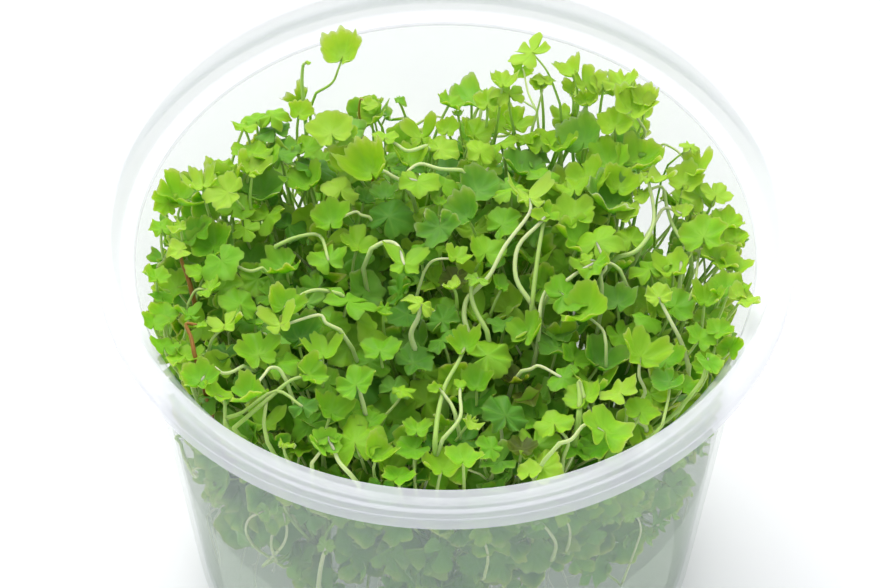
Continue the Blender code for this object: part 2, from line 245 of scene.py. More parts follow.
@dataclass(frozen=True)
class Reading:
    """How what was read off the photograph is set in the cup; lengths are in millimetres, rows in pixels."""

    height_steps: int = 12
    level_tone: float = 0.6
    lift_per_tone: float = 5.0
    back_row: float = 150.0
    back_rows: float = 60.0
    seen_share: float = 0.75
    back_share: float = 0.12
    least_facing: float = 0.35
    leaf_tilts: tuple[float, float] = (0.5, 0.25)
    middle_share: float = 0.27
    clearance_share: float = 0.4
    first_drop: float = 1.5
    next_drop: float = 2.2
    bare_warmth: float = 0.8
    cool_tones: tuple[float, float] = (0.1, 0.43)
    cool_shares: tuple[float, float] = (0.5, 1.0)
    withered_tone: float = 0.02
    withered: float = 1.8
    stem_slope: float = 0.5
    stem_clearance: float = 1.2
    stem_end: float = 1.5
    stem_grasp: float = 5.0
    tip_lean: float = 0.5
    tip_tilts: tuple[float, float] = (0.5, 0.4)
    tip_radii: tuple[float, float] = (1.6, 2.4)
    tip_tones: tuple[float, float] = (0.6, 0.9)
    wall_steps: int = 24
    wall_clearance: float = 0.8
    wall_rises: tuple[float, float] = (0.2, 0.6)
    wall_radii: tuple[float, float] = (1.6, 2.6)
    wall_tones: tuple[float, float] = (0.5, 0.8)


VIEW = PhotoView()
CUP = CupSize()
CANOPY = CanopyShape()
READING = Reading()


@dataclass(frozen=True)
class PhotoLeaf:
    """One leaf read off the photograph: its middle and half its breadth in pixels, then its turn and look."""

    x: float
    y: float
    half: float
    heading: float
    facing: float
    tone: float
    lobing: Lobing = Lobing.THREE
    height: float = 0.0
    stem: tuple[tuple[float, float], ...] = ()
    pale: float = 0.35
    girth: float = 0.42


@dataclass(frozen=True)
class PhotoStem:
    """One bare stretch of petiole read off the photograph, as pixels from its upper end down."""

    path: tuple[tuple[float, float], ...]
    pale: float = 0.8
    warm: float = 0.0
    girth: float = 0.45
    lift: float = 1.0


THREE, BROAD, ROUND, DEEP = Lobing.THREE, Lobing.BROAD, Lobing.ROUND, Lobing.DEEP
PAIR, NARROW, BUD = Lobing.PAIR, Lobing.NARROW, Lobing.BUD

# Leaves of the photograph, each with the values of a PhotoLeaf in order
LEAF_ROWS = (
    (345, 51, 22, 70, 0.6, 0.9, ROUND, 74.2, ((338, 70), (332, 83), (316, 93)), 0.3, 0.3),
    (308, 62, 5, 20, 0.3, 0.8, BUD, 73.6, ((303, 66), (302, 84), (304, 104)), 0.35, 0.42),
    (371, 105, 9, 10, 0.6, 0.75, ROUND, 64.0, ((361, 99), (359, 112), (361, 126)), 0.0, 0.3),
    (399, 99, 10, -25, 0.15, 0.35, NARROW, 60.0),
    (464, 99, 24, 178, 0.1, 0.42, BROAD, 62.0),
    (458, 114, 11, 270, 0.5, 0.5, NARROW, 60.0),
    (527, 50, 23, 150, 0.55, 0.88, DEEP, 73.8, ((545, 68), (552, 82), (560, 104)), 0.3, 0.28),
    (544, 80, 12, 95, 0.5, 0.65, THREE, 71.5, ((541, 96), (537, 112), (532, 130)), 0.5, 0.28),
    (507, 90, 19, 112, 0.65, 0.72, DEEP, 70.5),
    (496, 122, 21, 140, 0.4, 0.62, BROAD),
    (585, 80, 20, 96, 0.75, 1.0, DEEP, 71.5),
    (570, 88, 13, 110, 0.55, 0.7, NARROW, 70.5),
    (586, 101, 14, 100, 0.45, 0.6, ROUND, 69.5),
    (621, 82, 20, 115, 0.6, 1.0, THREE, 72.0),
    (634, 106, 22, 60, 0.55, 0.78, BROAD, 70.5, ((640, 122), (645, 132), (640, 142)), 0.8, 0.4),
    (564, 120, 17, 225, 0.4, 0.62, THREE),
    (585, 136, 22, 80, 0.55, 0.42, ROUND),
    (627, 142, 23, 70, 0.55, 0.36, BROAD),
    (646, 161, 24, 20, 0.3, 0.46, BROAD),
    (691, 145, 10, 80, 0.6, 0.95, THREE, 70.0, ((680, 155), (668, 165)), 0.2, 0.25),
    (701, 168, 17, 25, 0.45, 0.78, THREE),
    (656, 179, 24, 6, 0.15, 0.8, NARROW, 70.5),
    (717, 192, 15, 70, 0.5, 0.85, THREE),
    (697, 192, 18, 120, 0.5, 0.68, BROAD),
    (683, 212, 10, 60, 0.5, 0.8, BROAD),
    (643, 196, 16, 260, 0.5, 0.74, NARROW),
    (631, 213, 14, 40, 0.5, 0.85, BROAD),
    (604, 206, 26, 175, 0.45, 0.38, ROUND),
    (560, 150, 18, 250, 0.4, 0.52, THREE),
    (532, 153, 17, 60, 0.45, 0.3, BROAD),
    (519, 168, 20, 130, 0.45, 0.2, ROUND),
    (548, 176, 17, 20, 0.35, 0.45, BROAD),
    (528, 195, 24, 108, 0.25, 0.9, PAIR, 71.5),
    (479, 148, 15, 100, 0.8, 0.66, ROUND, 68.5),
    (421, 133, 18, 95, 0.75, 0.66, PAIR, 66.5),
    (445, 148, 17, 20, 0.2, 0.7, BROAD),
    (329, 128, 22, 115, 0.6, 0.9, BROAD, 71.0),
    (349, 136, 14, 30, 0.45, 0.72, BROAD, 70.0),
    (300, 112, 13, 70, 0.45, 0.6, BROAD),
    (272, 127, 18, 120, 0.35, 0.34, BROAD),
    (241, 124, 8, 150, 0.5, 0.6, BUD),
    (252, 150, 19, 100, 0.5, 0.6, ROUND),
    (251, 169, 16, 70, 0.55, 0.74, ROUND),
    (285, 150, 19, 30, 0.45, 0.4, BROAD),
    (317, 164, 20, 90, 0.5, 0.24, ROUND),
    (369, 168, 22, 115, 0.55, 0.62, BROAD),
    (390, 158, 15, 60, 0.4, 0.55, THREE),
    (418, 186, 19, 275, 0.45, 0.66, BROAD),
    (222, 194, 21, 186, 0.75, 0.97, THREE, 70.8),
    (200, 184, 17, 135, 0.35, 0.82, DEEP, 69.8),
    (175, 199, 25, 176, 0.3, 0.6, DEEP, 69.2),
    (268, 192, 22, 20, 0.55, 0.36, ROUND),
    (306, 184, 20, 150, 0.45, 0.48, BROAD),
    (252, 176, 5, 90, 0.4, 0.92, BUD, 71.5, ((251, 186), (250, 200), (252, 214)), 0.3, 0.35),
    (341, 186, 18, 92, 0.45, 0.85, BROAD),
    (179, 229, 15, 255, 0.4, 0.86, NARROW),
    (176, 251, 12, 190, 0.25, 0.92, BROAD),
    (196, 230, 17, 100, 0.45, 0.46, ROUND),
    (215, 243, 22, 80, 0.5, 0.44, BROAD),
    (224, 266, 21, 300, 0.45, 0.52, BROAD),
    (266, 221, 18, 250, 0.55, 0.64, DEEP),
    (247, 232, 13, 300, 0.5, 0.68, THREE),
    (293, 224, 19, 30, 0.5, 0.12, ROUND),
    (280, 270, 19, 200, 0.35, 0.5, BROAD),
    (327, 256, 18, 110, 0.5, 0.6, THREE),
    (364, 199, 11, 90, 0.55, 0.2, ROUND),
    (393, 211, 22, 55, 0.65, 0.16, BROAD, 68.0),
    (386, 194, 13, 80, 0.3, 0.42, BROAD),
    (440, 234, 21, 270, 0.75, 0.34, THREE, 69.0, ((445, 212), (466, 190), (488, 169)), 0.85, 0.45),
    (440, 202, 9, 90, 0.3, 0.55, BUD),
    (483, 188, 20, 30, 0.4, 0.3, BROAD),
    (356, 243, 19, 112, 0.5, 0.7, THREE),
    (404, 259, 25, 92, 0.4, 0.66, PAIR, 69.8),
    (424, 247, 14, 40, 0.4, 0.45, BROAD),
    (458, 256, 13, 60, 0.5, 0.72, THREE),
    (486, 248, 17, 85, 0.65, 0.62, ROUND, 69.5),
    (451, 287, 9, 170, 0.15, 0.88, BROAD, 70.0, ((456, 294), (457, 306)), 0.3, 0.4),
    (421, 300, 16, 95, 0.65, 0.96, DEEP, 71.2, ((418, 318), (411, 334), (416, 352)), 1.0, 0.6),
    (352, 298, 25, 45, 0.5, 0.56, DEEP, 69.2),
    (384, 312, 16, 265, 0.4, 0.6, NARROW),
    (402, 316, 16, 200, 0.5, 0.2, ROUND),
    (445, 316, 17, 60, 0.55, 0.36, BROAD),
    (504, 323, 16, 100, 0.6, 0.36, ROUND),
    (500, 286, 16, 120, 0.35, 0.46, NARROW),
    (572, 240, 23, 150, 0.5, 0.56, THREE),
    (600, 236, 23, 60, 0.45, 0.64, THREE),
    (704, 231, 22, 85, 0.55, 0.54, BROAD, 69.8),
    (728, 222, 15, 55, 0.5, 0.62, BROAD),
    (720, 258, 18, 20, 0.45, 0.62, BROAD),
    (745, 241, 9, 290, 0.3, 0.35, NARROW),
    (727, 289, 19, 95, 0.6, 0.52, ROUND, 68.8),
    (755, 300, 16, 20, 0.5, 0.82, ROUND, 69.6),
    (657, 294, 13, 110, 0.45, 0.92, ROUND, 71.0, ((671, 322), (682, 344), (688, 366), (687, 390)), 0.85, 0.5),
    (679, 305, 20, 20, 0.45, 0.44, BROAD),
    (646, 319, 15, 200, 0.4, 0.5, BROAD),
    (618, 299, 17, 80, 0.6, 0.38, ROUND),
    (570, 293, 22, 20, 0.45, 0.46, BROAD),
    (592, 313, 24, 4, 0.3, 0.62, BROAD),
    (640, 350, 24, 92, 0.8, 0.68, THREE, 70.8, ((639, 376), (645, 393), (633, 414), (646, 427)), 0.95, 0.42),
    (617, 390, 19, 140, 0.55, 0.86, THREE, 69.5),
    (607, 429, 25, 85, 0.6, 0.64, BROAD, 68.5),
    (553, 420, 18, 105, 0.5, 0.74, BROAD, 68.5, ((568, 441), (564, 456), (562, 468)), 0.5, 0.42),
    (548, 468, 19, 50, 0.45, 0.88, BROAD, 66.0),
    (576, 357, 16, 60, 0.5, 0.52, ROUND),
    (552, 350, 18, 200, 0.5, 0.4, BROAD),
    (602, 362, 21, 40, 0.5, 0.26, ROUND),
    (566, 380, 17, 330, 0.45, 0.5, THREE),
    (668, 358, 18, 60, 0.45, 0.46, BROAD),
    (666, 386, 16, 220, 0.45, 0.26, ROUND),
    (700, 336, 16, 70, 0.5, 0.5, THREE),
    (722, 330, 14, 30, 0.45, 0.52, BROAD),
    (712, 366, 14, 300, 0.45, 0.46, BROAD),
    (504, 409, 23, 100, 0.65, 0.22, BROAD, 67.0, ((501, 424), (502, 440), (501, 459), (489, 482)), 0.8, 0.42),
    (495, 354, 22, 12, 0.4, 0.66, BROAD),
    (463, 344, 16, 110, 0.45, 0.6, THREE),
    (439, 340, 16, 160, 0.45, 0.42, BROAD),
    (478, 384, 15, 70, 0.55, 0.5, ROUND),
    (419, 361, 19, 20, 0.4, 0.28, BROAD),
    (406, 390, 12, 12, 0.35, 0.78, THREE, 68.0, ((399, 400), (386, 415)), 0.5, 0.3),
    (355, 380, 20, 105, 0.65, 0.58, THREE, 69.0),
    (354, 434, 28, 98, 0.6, 0.74, THREE, 68.2),
    (380, 456, 15, 20, 0.4, 0.7, BROAD),
    (327, 434, 14, 110, 0.5, 0.62, BROAD),
    (320, 443, 17, 130, 0.5, 0.6, DEEP),
    (286, 443, 13, 30, 0.2, 0.98, NARROW, 67.5),
    (417, 428, 14, 85, 0.45, 0.66, BROAD),
    (409, 452, 17, 200, 0.45, 0.52, BROAD),
    (402, 475, 16, 30, 0.4, 0.58, BROAD),
    (440, 466, 18, 110, 0.5, 0.82, BROAD, 66.5),
    (470, 425, 17, 262, 0.35, 0.96, NARROW, 68.5),
    (465, 458, 17, 60, 0.45, 0.7, BROAD),
    (487, 446, 14, 150, 0.45, 0.5, BROAD),
    (530, 469, 12, 80, 0.5, 0.88, ROUND, 66.0),
    (213, 289, 14, 5, 0.25, 0.68, THREE, 69.5, ((196, 290), (188, 304)), 0.5, 0.3),
    (228, 322, 19, 58, 0.3, 0.88, DEEP, 70.2, ((213, 338), (209, 350), (208, 362)), 0.5, 0.4),
    (188, 313, 15, 130, 0.45, 0.56, PAIR),
    (200, 325, 10, 0, 0.3, 0.68, NARROW),
    (164, 312, 14, 95, 0.4, 0.62, BROAD),
    (160, 296, 12, 130, 0.4, 0.5, BROAD),
    (175, 358, 18, 100, 0.4, 0.72, BROAD),
    (200, 380, 17, 60, 0.45, 0.54, BROAD),
    (219, 394, 15, 20, 0.3, 0.78, BROAD, 68.0),
    (252, 396, 18, 10, 0.4, 0.56, BROAD),
    (257, 349, 21, 110, 0.65, 0.62, THREE, 69.4),
    (281, 321, 19, 90, 0.45, 0.92, PAIR, 69.6),
    (286, 304, 17, 60, 0.35, 0.62, BROAD),
    (304, 336, 21, 40, 0.5, 0.18, ROUND),
    (224, 355, 14, 250, 0.5, 0.16, ROUND),
    (246, 378, 15, 200, 0.45, 0.12, ROUND),
    (314, 376, 17, 350, 0.35, 0.6, BROAD),
    (303, 403, 13, 90, 0.5, 0.26, ROUND),
    (457, 277, 14, 40, 0.5, 0.0, ROUND),
    (512, 382, 14, 200, 0.5, 0.0, ROUND),
    (487, 371, 12, 120, 0.5, 0.0, ROUND),
    (529, 399, 14, 300, 0.5, 0.0, ROUND),
    (522, 446, 14, 80, 0.5, 0.0, ROUND),
    (606, 160, 22, 100, 0.45, 0.44, BROAD),
    (604, 84, 16, 85, 0.6, 0.88, BROAD, 71.0),
    (572, 72, 15, 100, 0.55, 0.9, BROAD, 72.0),
    (502, 82, 15, 100, 0.5, 0.8, BROAD, 71.5),
    (500, 142, 16, 100, 0.5, 0.6, BROAD),
    (527, 138, 13, 70, 0.5, 0.6, THREE),
    (255, 118, 14, 110, 0.45, 0.5, BROAD),
    (730, 242, 14, 40, 0.45, 0.6, BROAD),
    (590, 176, 22, 60, 0.5, 0.62, THREE),
    (571, 212, 20, 120, 0.45, 0.66, BROAD),
    (507, 221, 18, 40, 0.5, 0.5, BROAD),
    (463, 216, 18, 150, 0.4, 0.34, ROUND),
    (674, 268, 18, 70, 0.5, 0.7, BROAD),
    (648, 266, 19, 110, 0.45, 0.6, THREE),
    (592, 268, 18, 250, 0.45, 0.58, BROAD),
    (531, 330, 19, 60, 0.45, 0.6, THREE),
    (583, 395, 18, 110, 0.5, 0.7, BROAD),
    (643, 408, 16, 60, 0.5, 0.66, BROAD),
    (322, 352, 19, 110, 0.45, 0.66, THREE),
    (286, 360, 18, 30, 0.45, 0.6, BROAD),
    (381, 347, 18, 80, 0.45, 0.56, BROAD),
    (330, 408, 18, 100, 0.5, 0.62, BROAD),
    (371, 418, 16, 60, 0.45, 0.58, THREE),
    (240, 300, 19, 100, 0.5, 0.6, BROAD),
    (206, 270, 18, 80, 0.45, 0.66, BROAD),
    (236, 206, 18, 60, 0.5, 0.6, BROAD),
    (331, 218, 18, 90, 0.45, 0.52, BROAD),
    (352, 160, 16, 70, 0.45, 0.66, BROAD),
    (516, 122, 16, 80, 0.5, 0.6, THREE),
    (273, 112, 16, 70, 0.5, 0.56, BROAD, 70.0),
    (243, 126, 12, 110, 0.45, 0.62, BROAD, 69.5),
    (222, 166, 13, 100, 0.4, 0.7, BROAD),
    (308, 146, 15, 60, 0.45, 0.5, BROAD),
    (616, 122, 18, 80, 0.5, 0.6, BROAD, 69.5),
    (646, 100, 14, 60, 0.45, 0.86, BROAD, 71.0),
    (449, 102, 15, 100, 0.4, 0.46, BROAD, 66.0),
    (488, 101, 16, 80, 0.5, 0.66, THREE, 69.0),
    (472, 131, 17, 110, 0.45, 0.58, BROAD),
    (449, 128, 12, 70, 0.45, 0.62, BROAD),
    (540, 84, 11, 100, 0.5, 0.72, BROAD, 71.0),
    (685, 180, 17, 70, 0.5, 0.74, BROAD),
    (630, 236, 15, 100, 0.5, 0.66, BROAD),
    (738, 236, 12, 50, 0.5, 0.66, BROAD),
    (540, 142, 15, 100, 0.45, 0.56, BROAD),
    (265, 158, 18, 90, 0.45, 0.56, BROAD),
    (230, 182, 17, 60, 0.45, 0.66, BROAD),
    (385, 136, 13, 80, 0.45, 0.66, BROAD),
    (408, 160, 16, 100, 0.45, 0.6, THREE),
    (445, 182, 17, 60, 0.45, 0.56, BROAD),
    (510, 188, 17, 110, 0.45, 0.6, BROAD),
    (575, 186, 17, 80, 0.45, 0.62, THREE),
    (620, 184, 18, 70, 0.45, 0.6, BROAD),
    (738, 265, 15, 80, 0.45, 0.66, BROAD),
    (706, 300, 16, 60, 0.45, 0.6, BROAD),
    (163, 201, 15, 150, 0.5, 0.72, BROAD, 69.5),
    (160, 226, 12, 120, 0.5, 0.66, BROAD, 69.5),
    (156, 276, 13, 110, 0.5, 0.66, BROAD, 69.0),
    (154, 322, 13, 90, 0.5, 0.56, BROAD, 68.0),
    (162, 344, 14, 110, 0.5, 0.6, BROAD, 67.5),
    (176, 382, 14, 80, 0.5, 0.56, BROAD, 67.0),
    (734, 346, 14, 70, 0.5, 0.56, BROAD, 68.0),
    (722, 372, 14, 100, 0.5, 0.52, BROAD, 67.0),
    (700, 394, 14, 60, 0.5, 0.56, BROAD, 66.5),
)
PHOTO_LEAVES = tuple(PhotoLeaf(*row) for row in LEAF_ROWS)

# Bare petioles of the photograph, each with the values of a PhotoStem in order
STEM_ROWS = (
    (((529, 214), (505, 246), (491, 273), (479, 287), (467, 299), (464, 316), (468, 332)), 1, 0, 0.5, 2.6),
    (((474, 279), (471, 292), (475, 309), (487, 331)), 0.55, 0.0, 0.5, 1.8),
    (((538, 225), (518, 247), (516, 278), (531, 303)), 0.85, 0.0, 0.5, 2.2),
    (((543, 225), (537, 262), (532, 306)), 0.35, 0.0, 0.5, 1.8),
    (((549, 288), (541, 304), (539, 330)), 0.8, 0.0, 0.45, 1.8),
    (((662, 187), (667, 208), (674, 228), (690, 252)), 0.6, 0.0, 0.42, 1.6),
    (((654, 212), (650, 233), (636, 251), (618, 257)), 0.6, 0.0, 0.5, 2.4),
    (((665, 208), (655, 222), (644, 240)), 0.9, 0.0, 0.42, 1.4),
    (((700, 246), (697, 268), (695, 284), (691, 296)), 0.6, 0.1, 0.34, 1.6),
    (((686, 247), (682, 260), (681, 272)), 0.85, 0.0, 0.42, 1.8),
    (((577, 273), (566, 281), (553, 288)), 1.0, 0.0, 0.45, 2.2),
    (((600, 262), (612, 264), (620, 270)), 0.8, 0.0, 0.4, 2.2),
    (((606, 266), (601, 275), (602, 286)), 0.8, 0.0, 0.4, 1.8),
    (((396, 144), (408, 151), (426, 146)), 1.0, 0.0, 0.45, 2.6),
    (((405, 176), (419, 164), (440, 169), (461, 170)), 0.9, 0.0, 0.42, 2.6),
    (((383, 171), (392, 176), (402, 181)), 1.0, 0.0, 0.45, 2.6),
    (((398, 246), (385, 242), (371, 249)), 1.0, 0.0, 0.48, 3.2),
    (((439, 259), (430, 263), (424, 272)), 0.9, 0.0, 0.32, 2.6),
    (((303, 294), (319, 290), (340, 294)), 0.6, 0.0, 0.42, 2.4),
    (((318, 315), (326, 323), (340, 330)), 0.9, 0.0, 0.42, 2.2),
    (((212, 367), (222, 373), (232, 372), (243, 366)), 0.9, 0.0, 0.36, 2.2),
    (((264, 375), (270, 368), (279, 369), (286, 380)), 0.85, 0.0, 0.38, 2.6),
    (((290, 381), (267, 400), (234, 428)), 0.35, 0.0, 0.46, 2.4),
    (((276, 391), (243, 412), (226, 418)), 0.35, 0.0, 0.42, 2.2),
    (((224, 400), (225, 412), (225, 424)), 0.5, 0.0, 0.42, 1.8),
    (((334, 450), (339, 462), (350, 474)), 0.9, 0.0, 0.46, 2.0),
    (((457, 364), (445, 386), (438, 414), (435, 442)), 0.35, 0.0, 0.5, 2.4),
    (((460, 397), (460, 418), (443, 439)), 0.7, 0.0, 0.42, 2.0),
    (((540, 366), (531, 369), (522, 371)), 1.0, 0.0, 0.42, 0.6),
    (((586, 424), (572, 439), (560, 443)), 0.9, 0.0, 0.42, 2.6),
    (((707, 359), (703, 378), (692, 394)), 0.5, 0.0, 0.4, 1.8),
    (((668, 400), (662, 426)), 0.5, 0.0, 0.34, 1.8),
    (((602, 329), (606, 344)), 0.8, 0.0, 0.36, 2.0),
    (((230, 254), (236, 265), (250, 271), (262, 268)), 0.7, 0.0, 0.36, 2.6),
    (((320, 236), (298, 237), (276, 246)), 0.45, 0.0, 0.46, 2.4),
    (((186, 324), (191, 337), (194, 352)), 0.2, 1.0, 0.46, 2.6),
    (((182, 262), (186, 272), (190, 284)), 0.2, 1.0, 0.5, 0.6),
    (((516, 97), (528, 104), (537, 112), (532, 128)), 0.6, 0.0, 0.26, 0.6),
    (((524, 72), (528, 92), (537, 112)), 0.6, 0.0, 0.26, 2.6),
    (((579, 381), (580, 398), (579, 415)), 0.3, 0.0, 0.6, 2.0),
    (((446, 397), (451, 404), (455, 413)), 0.7, 0.0, 0.42, 2.0),
    (((359, 389), (361, 396), (363, 403)), 1.0, 0.0, 0.46, 2.4),
    (((266, 405), (264, 424), (266, 444)), 0.5, 0.0, 0.42, 1.6),
    (((315, 459), (312, 463), (311, 467)), 0.8, 0.0, 0.42, 1.6),
    (((354, 212), (361, 215), (369, 217)), 0.8, 0.0, 0.36, 2.0),
)
PHOTO_STEMS = tuple(PhotoStem(*row) for row in STEM_ROWS)

# Petioles that the photograph shows through the front wall, also as the values of a PhotoStem
WALL_STEM_ROWS = (
    (((262, 515), (250, 518), (246, 531), (254, 546), (269, 557), (284, 567)), 0.9, 0.0, 0.34),
    (((277, 519), (287, 531), (283, 545), (272, 557), (263, 566)), 0.9, 0.0, 0.34),
    (((268, 526), (271, 543), (277, 562)), 1.0, 0.0, 0.36),
    (((325, 549), (321, 566), (318, 590)), 1.0, 0.0, 0.56),
    (((541, 524), (550, 533), (556, 545), (552, 560)), 0.8, 0.0, 0.4),
    (((566, 519), (570, 530), (569, 544)), 0.8, 0.0, 0.34),
    (((636, 512), (641, 528), (636, 547), (628, 568), (621, 586)), 1.0, 0.0, 0.28),
    (((482, 540), (488, 556), (484, 578)), 0.8, 0.0, 0.36),
)
PHOTO_WALL_STEMS = tuple(PhotoStem(*row) for row in WALL_STEM_ROWS)


# Places where the photograph sees past the leaves to the white wall: column, row and radius in pixels
PHOTO_GAPS = (
    (306, 132, 9), (292, 197, 6), (377, 143, 8), (443, 124, 15), (513, 143, 9),
    (552, 98, 14), (556, 145, 7), (596, 122, 12), (641, 214, 10), (656, 222, 9),
    (694, 283, 9), (275, 90, 14), (258, 100, 8), (342, 90, 12), (322, 84, 8),
    (410, 110, 10), (427, 117, 9), (467, 80, 7), (212, 148, 14), (228, 140, 11),
    (190, 158, 12), (165, 180, 8), (672, 143, 13), (660, 128, 11), (726, 198, 8),
    (521, 100, 8),
)


@dataclass(frozen=True)
class BladeForm:
    """Resolution, thickness and surface of the leaf blades; lengths are shares of the leaf's radius."""

    spokes: int = 72
    rings: tuple[float, ...] = (0.32, 0.62, 0.86, 1.0)
    thickness: float = 0.28 * MM
    heart: float = 0.3
    sinus: float = 0.84
    sinus_width: float = 12.0
    tooth_angles: tuple[float, ...] = (-62.0, 0.0, 62.0)
    tooth_reach: float = 0.60
    tooth_radius: float = 0.44
    groove: float = 0.10
    groove_width: float = 0.24
    vein_width: float = 0.06
    blend_power: float = 14.0
    lobe_turn: float = 7.0
    lobe_distances: tuple[float, float] = (0.88, 1.08)
    lobe_radii: tuple[float, float] = (0.9, 1.08)
    lobe_share: float = 0.9
    tooth_turn: float = 9.0
    tooth_reaches: tuple[float, float] = (0.9, 1.06)
    crenations: tuple[int, ...] = (15, 17, 19)
    crenation: float = 0.07
    cups: tuple[float, float] = (-0.3, 0.95)
    folds: tuple[float, float] = (-0.3, 0.85)
    narrow_folds: tuple[float, float] = (0.5, 1.0)
    fold_softness: float = 0.02
    fold_rest: float = 0.14
    curls: tuple[float, float] = (-0.1, 0.4)
    waves: tuple[float, float] = (0.04, 0.16)
    wave_turns: tuple[int, ...] = (2, 3, 5)
    wave_phase: float = 6.0
    ruffle: tuple[float, float] = (0.05, 0.15)
    ruffle_waves: tuple[int, ...] = (5, 6, 7, 8)


@dataclass(frozen=True)
class FillLayer:
    """One layer of filling leaves: their number, depth below the canopy, size, tones and reach."""

    count: int
    depths: tuple[float, float]
    radii: tuple[float, float]
    tones: tuple[float, float]
    reach: float = 37.5 * MM


@dataclass(frozen=True)
class FillShape:
    """Numbers, sizes and depths of the leaves that fill the cup behind the ones in view.

    The loops are petioles against the wall; their girths are in millimetres, as in a PhotoStem.
    """

    # Deeper layers take lower tones: painted shade below the canopy.
    layers: tuple[FillLayer, ...] = (
        FillLayer(150, (2.5 * MM, 6.0 * MM), (2.6 * MM, 3.8 * MM), (0.48, 0.80)),
        FillLayer(160, (6.5 * MM, 13 * MM), (3.0 * MM, 4.3 * MM), (0.36, 0.66)),
        FillLayer(130, (13 * MM, 25 * MM), (3.4 * MM, 4.8 * MM), (0.14, 0.46), 36 * MM),
        FillLayer(130, (27 * MM, 36 * MM), (4.0 * MM, 5.4 * MM), (0.04, 0.3), 36 * MM),
    )
    layer_lean: float = -0.25
    jitter: float = 0.42
    cad_spacing: float = 3.6 * MM
    cad_tone: float = 0.62
    # Depth below the canopy over which a CAD leaf's tone drops by one, as painted shade.
    cad_shade_depth: float = 14 * MM
    cad_spread: float = 0.14
    cad_tones: tuple[float, float] = (0.06, 0.9)
    cad_growth: float = 1.04
    cad_pales: tuple[float, float] = (0.1, 0.7)
    cad_girths: tuple[float, float] = (0.3 * MM, 0.4 * MM)
    pales: tuple[float, float] = (0.1, 0.9)
    girths: tuple[float, float] = (0.28 * MM, 0.4 * MM)
    joint_share: float = 0.5
    fine_depth: float = 5 * MM
    cool_chance: float = 0.2
    cool_shares: tuple[float, float] = (0.4, 1.0)
    plain_shares: tuple[float, float] = (0.0, 0.2)
    wall_count: int = 360
    wall_heights: tuple[float, float] = (29.5 * MM, 63 * MM)
    wall_inset: tuple[float, float] = (0.3 * MM, 3.4 * MM)
    wall_radii: tuple[float, float] = (2.6 * MM, 4.2 * MM)
    wall_tones: tuple[float, float] = (0.3, 0.68)
    wall_clearance: float = 0.6 * MM
    wall_drops: tuple[float, float] = (2 * MM, 8 * MM)
    wall_lean: float = 0.9
    wall_rises: tuple[float, float] = (0.2, 1.2)
    loop_count: int = 26
    loop_start: float = 0.7
    loop_steps: int = 7
    loop_heights: tuple[float, float] = (36 * MM, 58 * MM)
    loop_stride: tuple[float, float] = (1.2 * MM, 2.6 * MM)
    loop_turn: tuple[float, float] = (0.1, 0.9)
    loop_clearance: float = 0.7 * MM
    loop_depth: float = 4 * MM
    loop_front: float = -22 * MM
    loop_end_share: float = 0.84
    loop_end_drop: float = 3 * MM
    loop_pales: tuple[float, float] = (0.8, 1.0)
    loop_girths: tuple[float, float] = (0.26, 0.4)
    gap_share: float = 0.75
    # Painted light: leaves towards the back and the right get lighter tones.
    back_light: float = 0.34
    right_share: float = 0.35
    front_share: float = 0.2
    blade_clearance: float = 0.35 * MM
    spread: float = 1.12
    crowding: float = 0.6 * MM
    candidates: int = 10
    seed: int = 7


@dataclass(frozen=True)
class PetioleForm:
    """How petioles run and taper, and each plantlet's short stem and roots; lengths are in millimetres."""

    seat: float = 0.05
    bend: float = 4.0
    steps: int = 4
    rises: tuple[float, float] = (0.4, 0.3)
    low_steps: int = 9
    plain_rises: tuple[float, float] = (0.45, 0.28)
    plain_bend: float = 0.3
    plain_clearance: float = 0.8
    plain_steps: tuple[int, int] = (9, 13)
    sides: tuple[int, int] = (5, 7)
    taper: tuple[float, float] = (0.86, 0.4)
    loop_steps: int = 5
    loop_taper: tuple[float, float] = (0.68, 0.28)
    loop_tone: float = 0.6
    stem_heights: tuple[float, float, float, float] = (-0.5, 2.0, 4.0, 6.4)
    stem_radii: tuple[float, float, float, float] = (0.8, 0.8, 0.9, 0.7)
    stem_look: tuple[float, float, float] = (0.5, 0.5, 0.15)
    roots: int = 4
    root_steps: int = 8
    root_start: float = 0.8
    root_reaches: tuple[float, float] = (1.0, 5.0)
    root_depths: tuple[float, float] = (7.0, 19.0)
    root_bends: tuple[tuple[float, float], ...] = ((0.6, 0.3), (1.0, 0.7), (1.4, 1.0))
    root_curl: float = 6.0
    root_clearance: float = 1.5
    root_radius: float = 0.2
    root_taper: float = 0.6
    root_look: tuple[float, float, float] = (0.6, 1.0, 0.0)


@dataclass(frozen=True)
class Leaf:
    """One leaf to build: its joint with the petiole, its axes, size, look and petiole."""

    joint: Vector
    tip: Vector
    face: Vector
    radius: float
    tone: float
    lobing: Lobing
    waypoints: tuple[Vector, ...] = ()
    pale: float = 0.3
    warm: float = 0.0
    girth: float = 0.36 * MM
    cool: float = 0.0
    whole_route: bool = False
    fine: bool = True


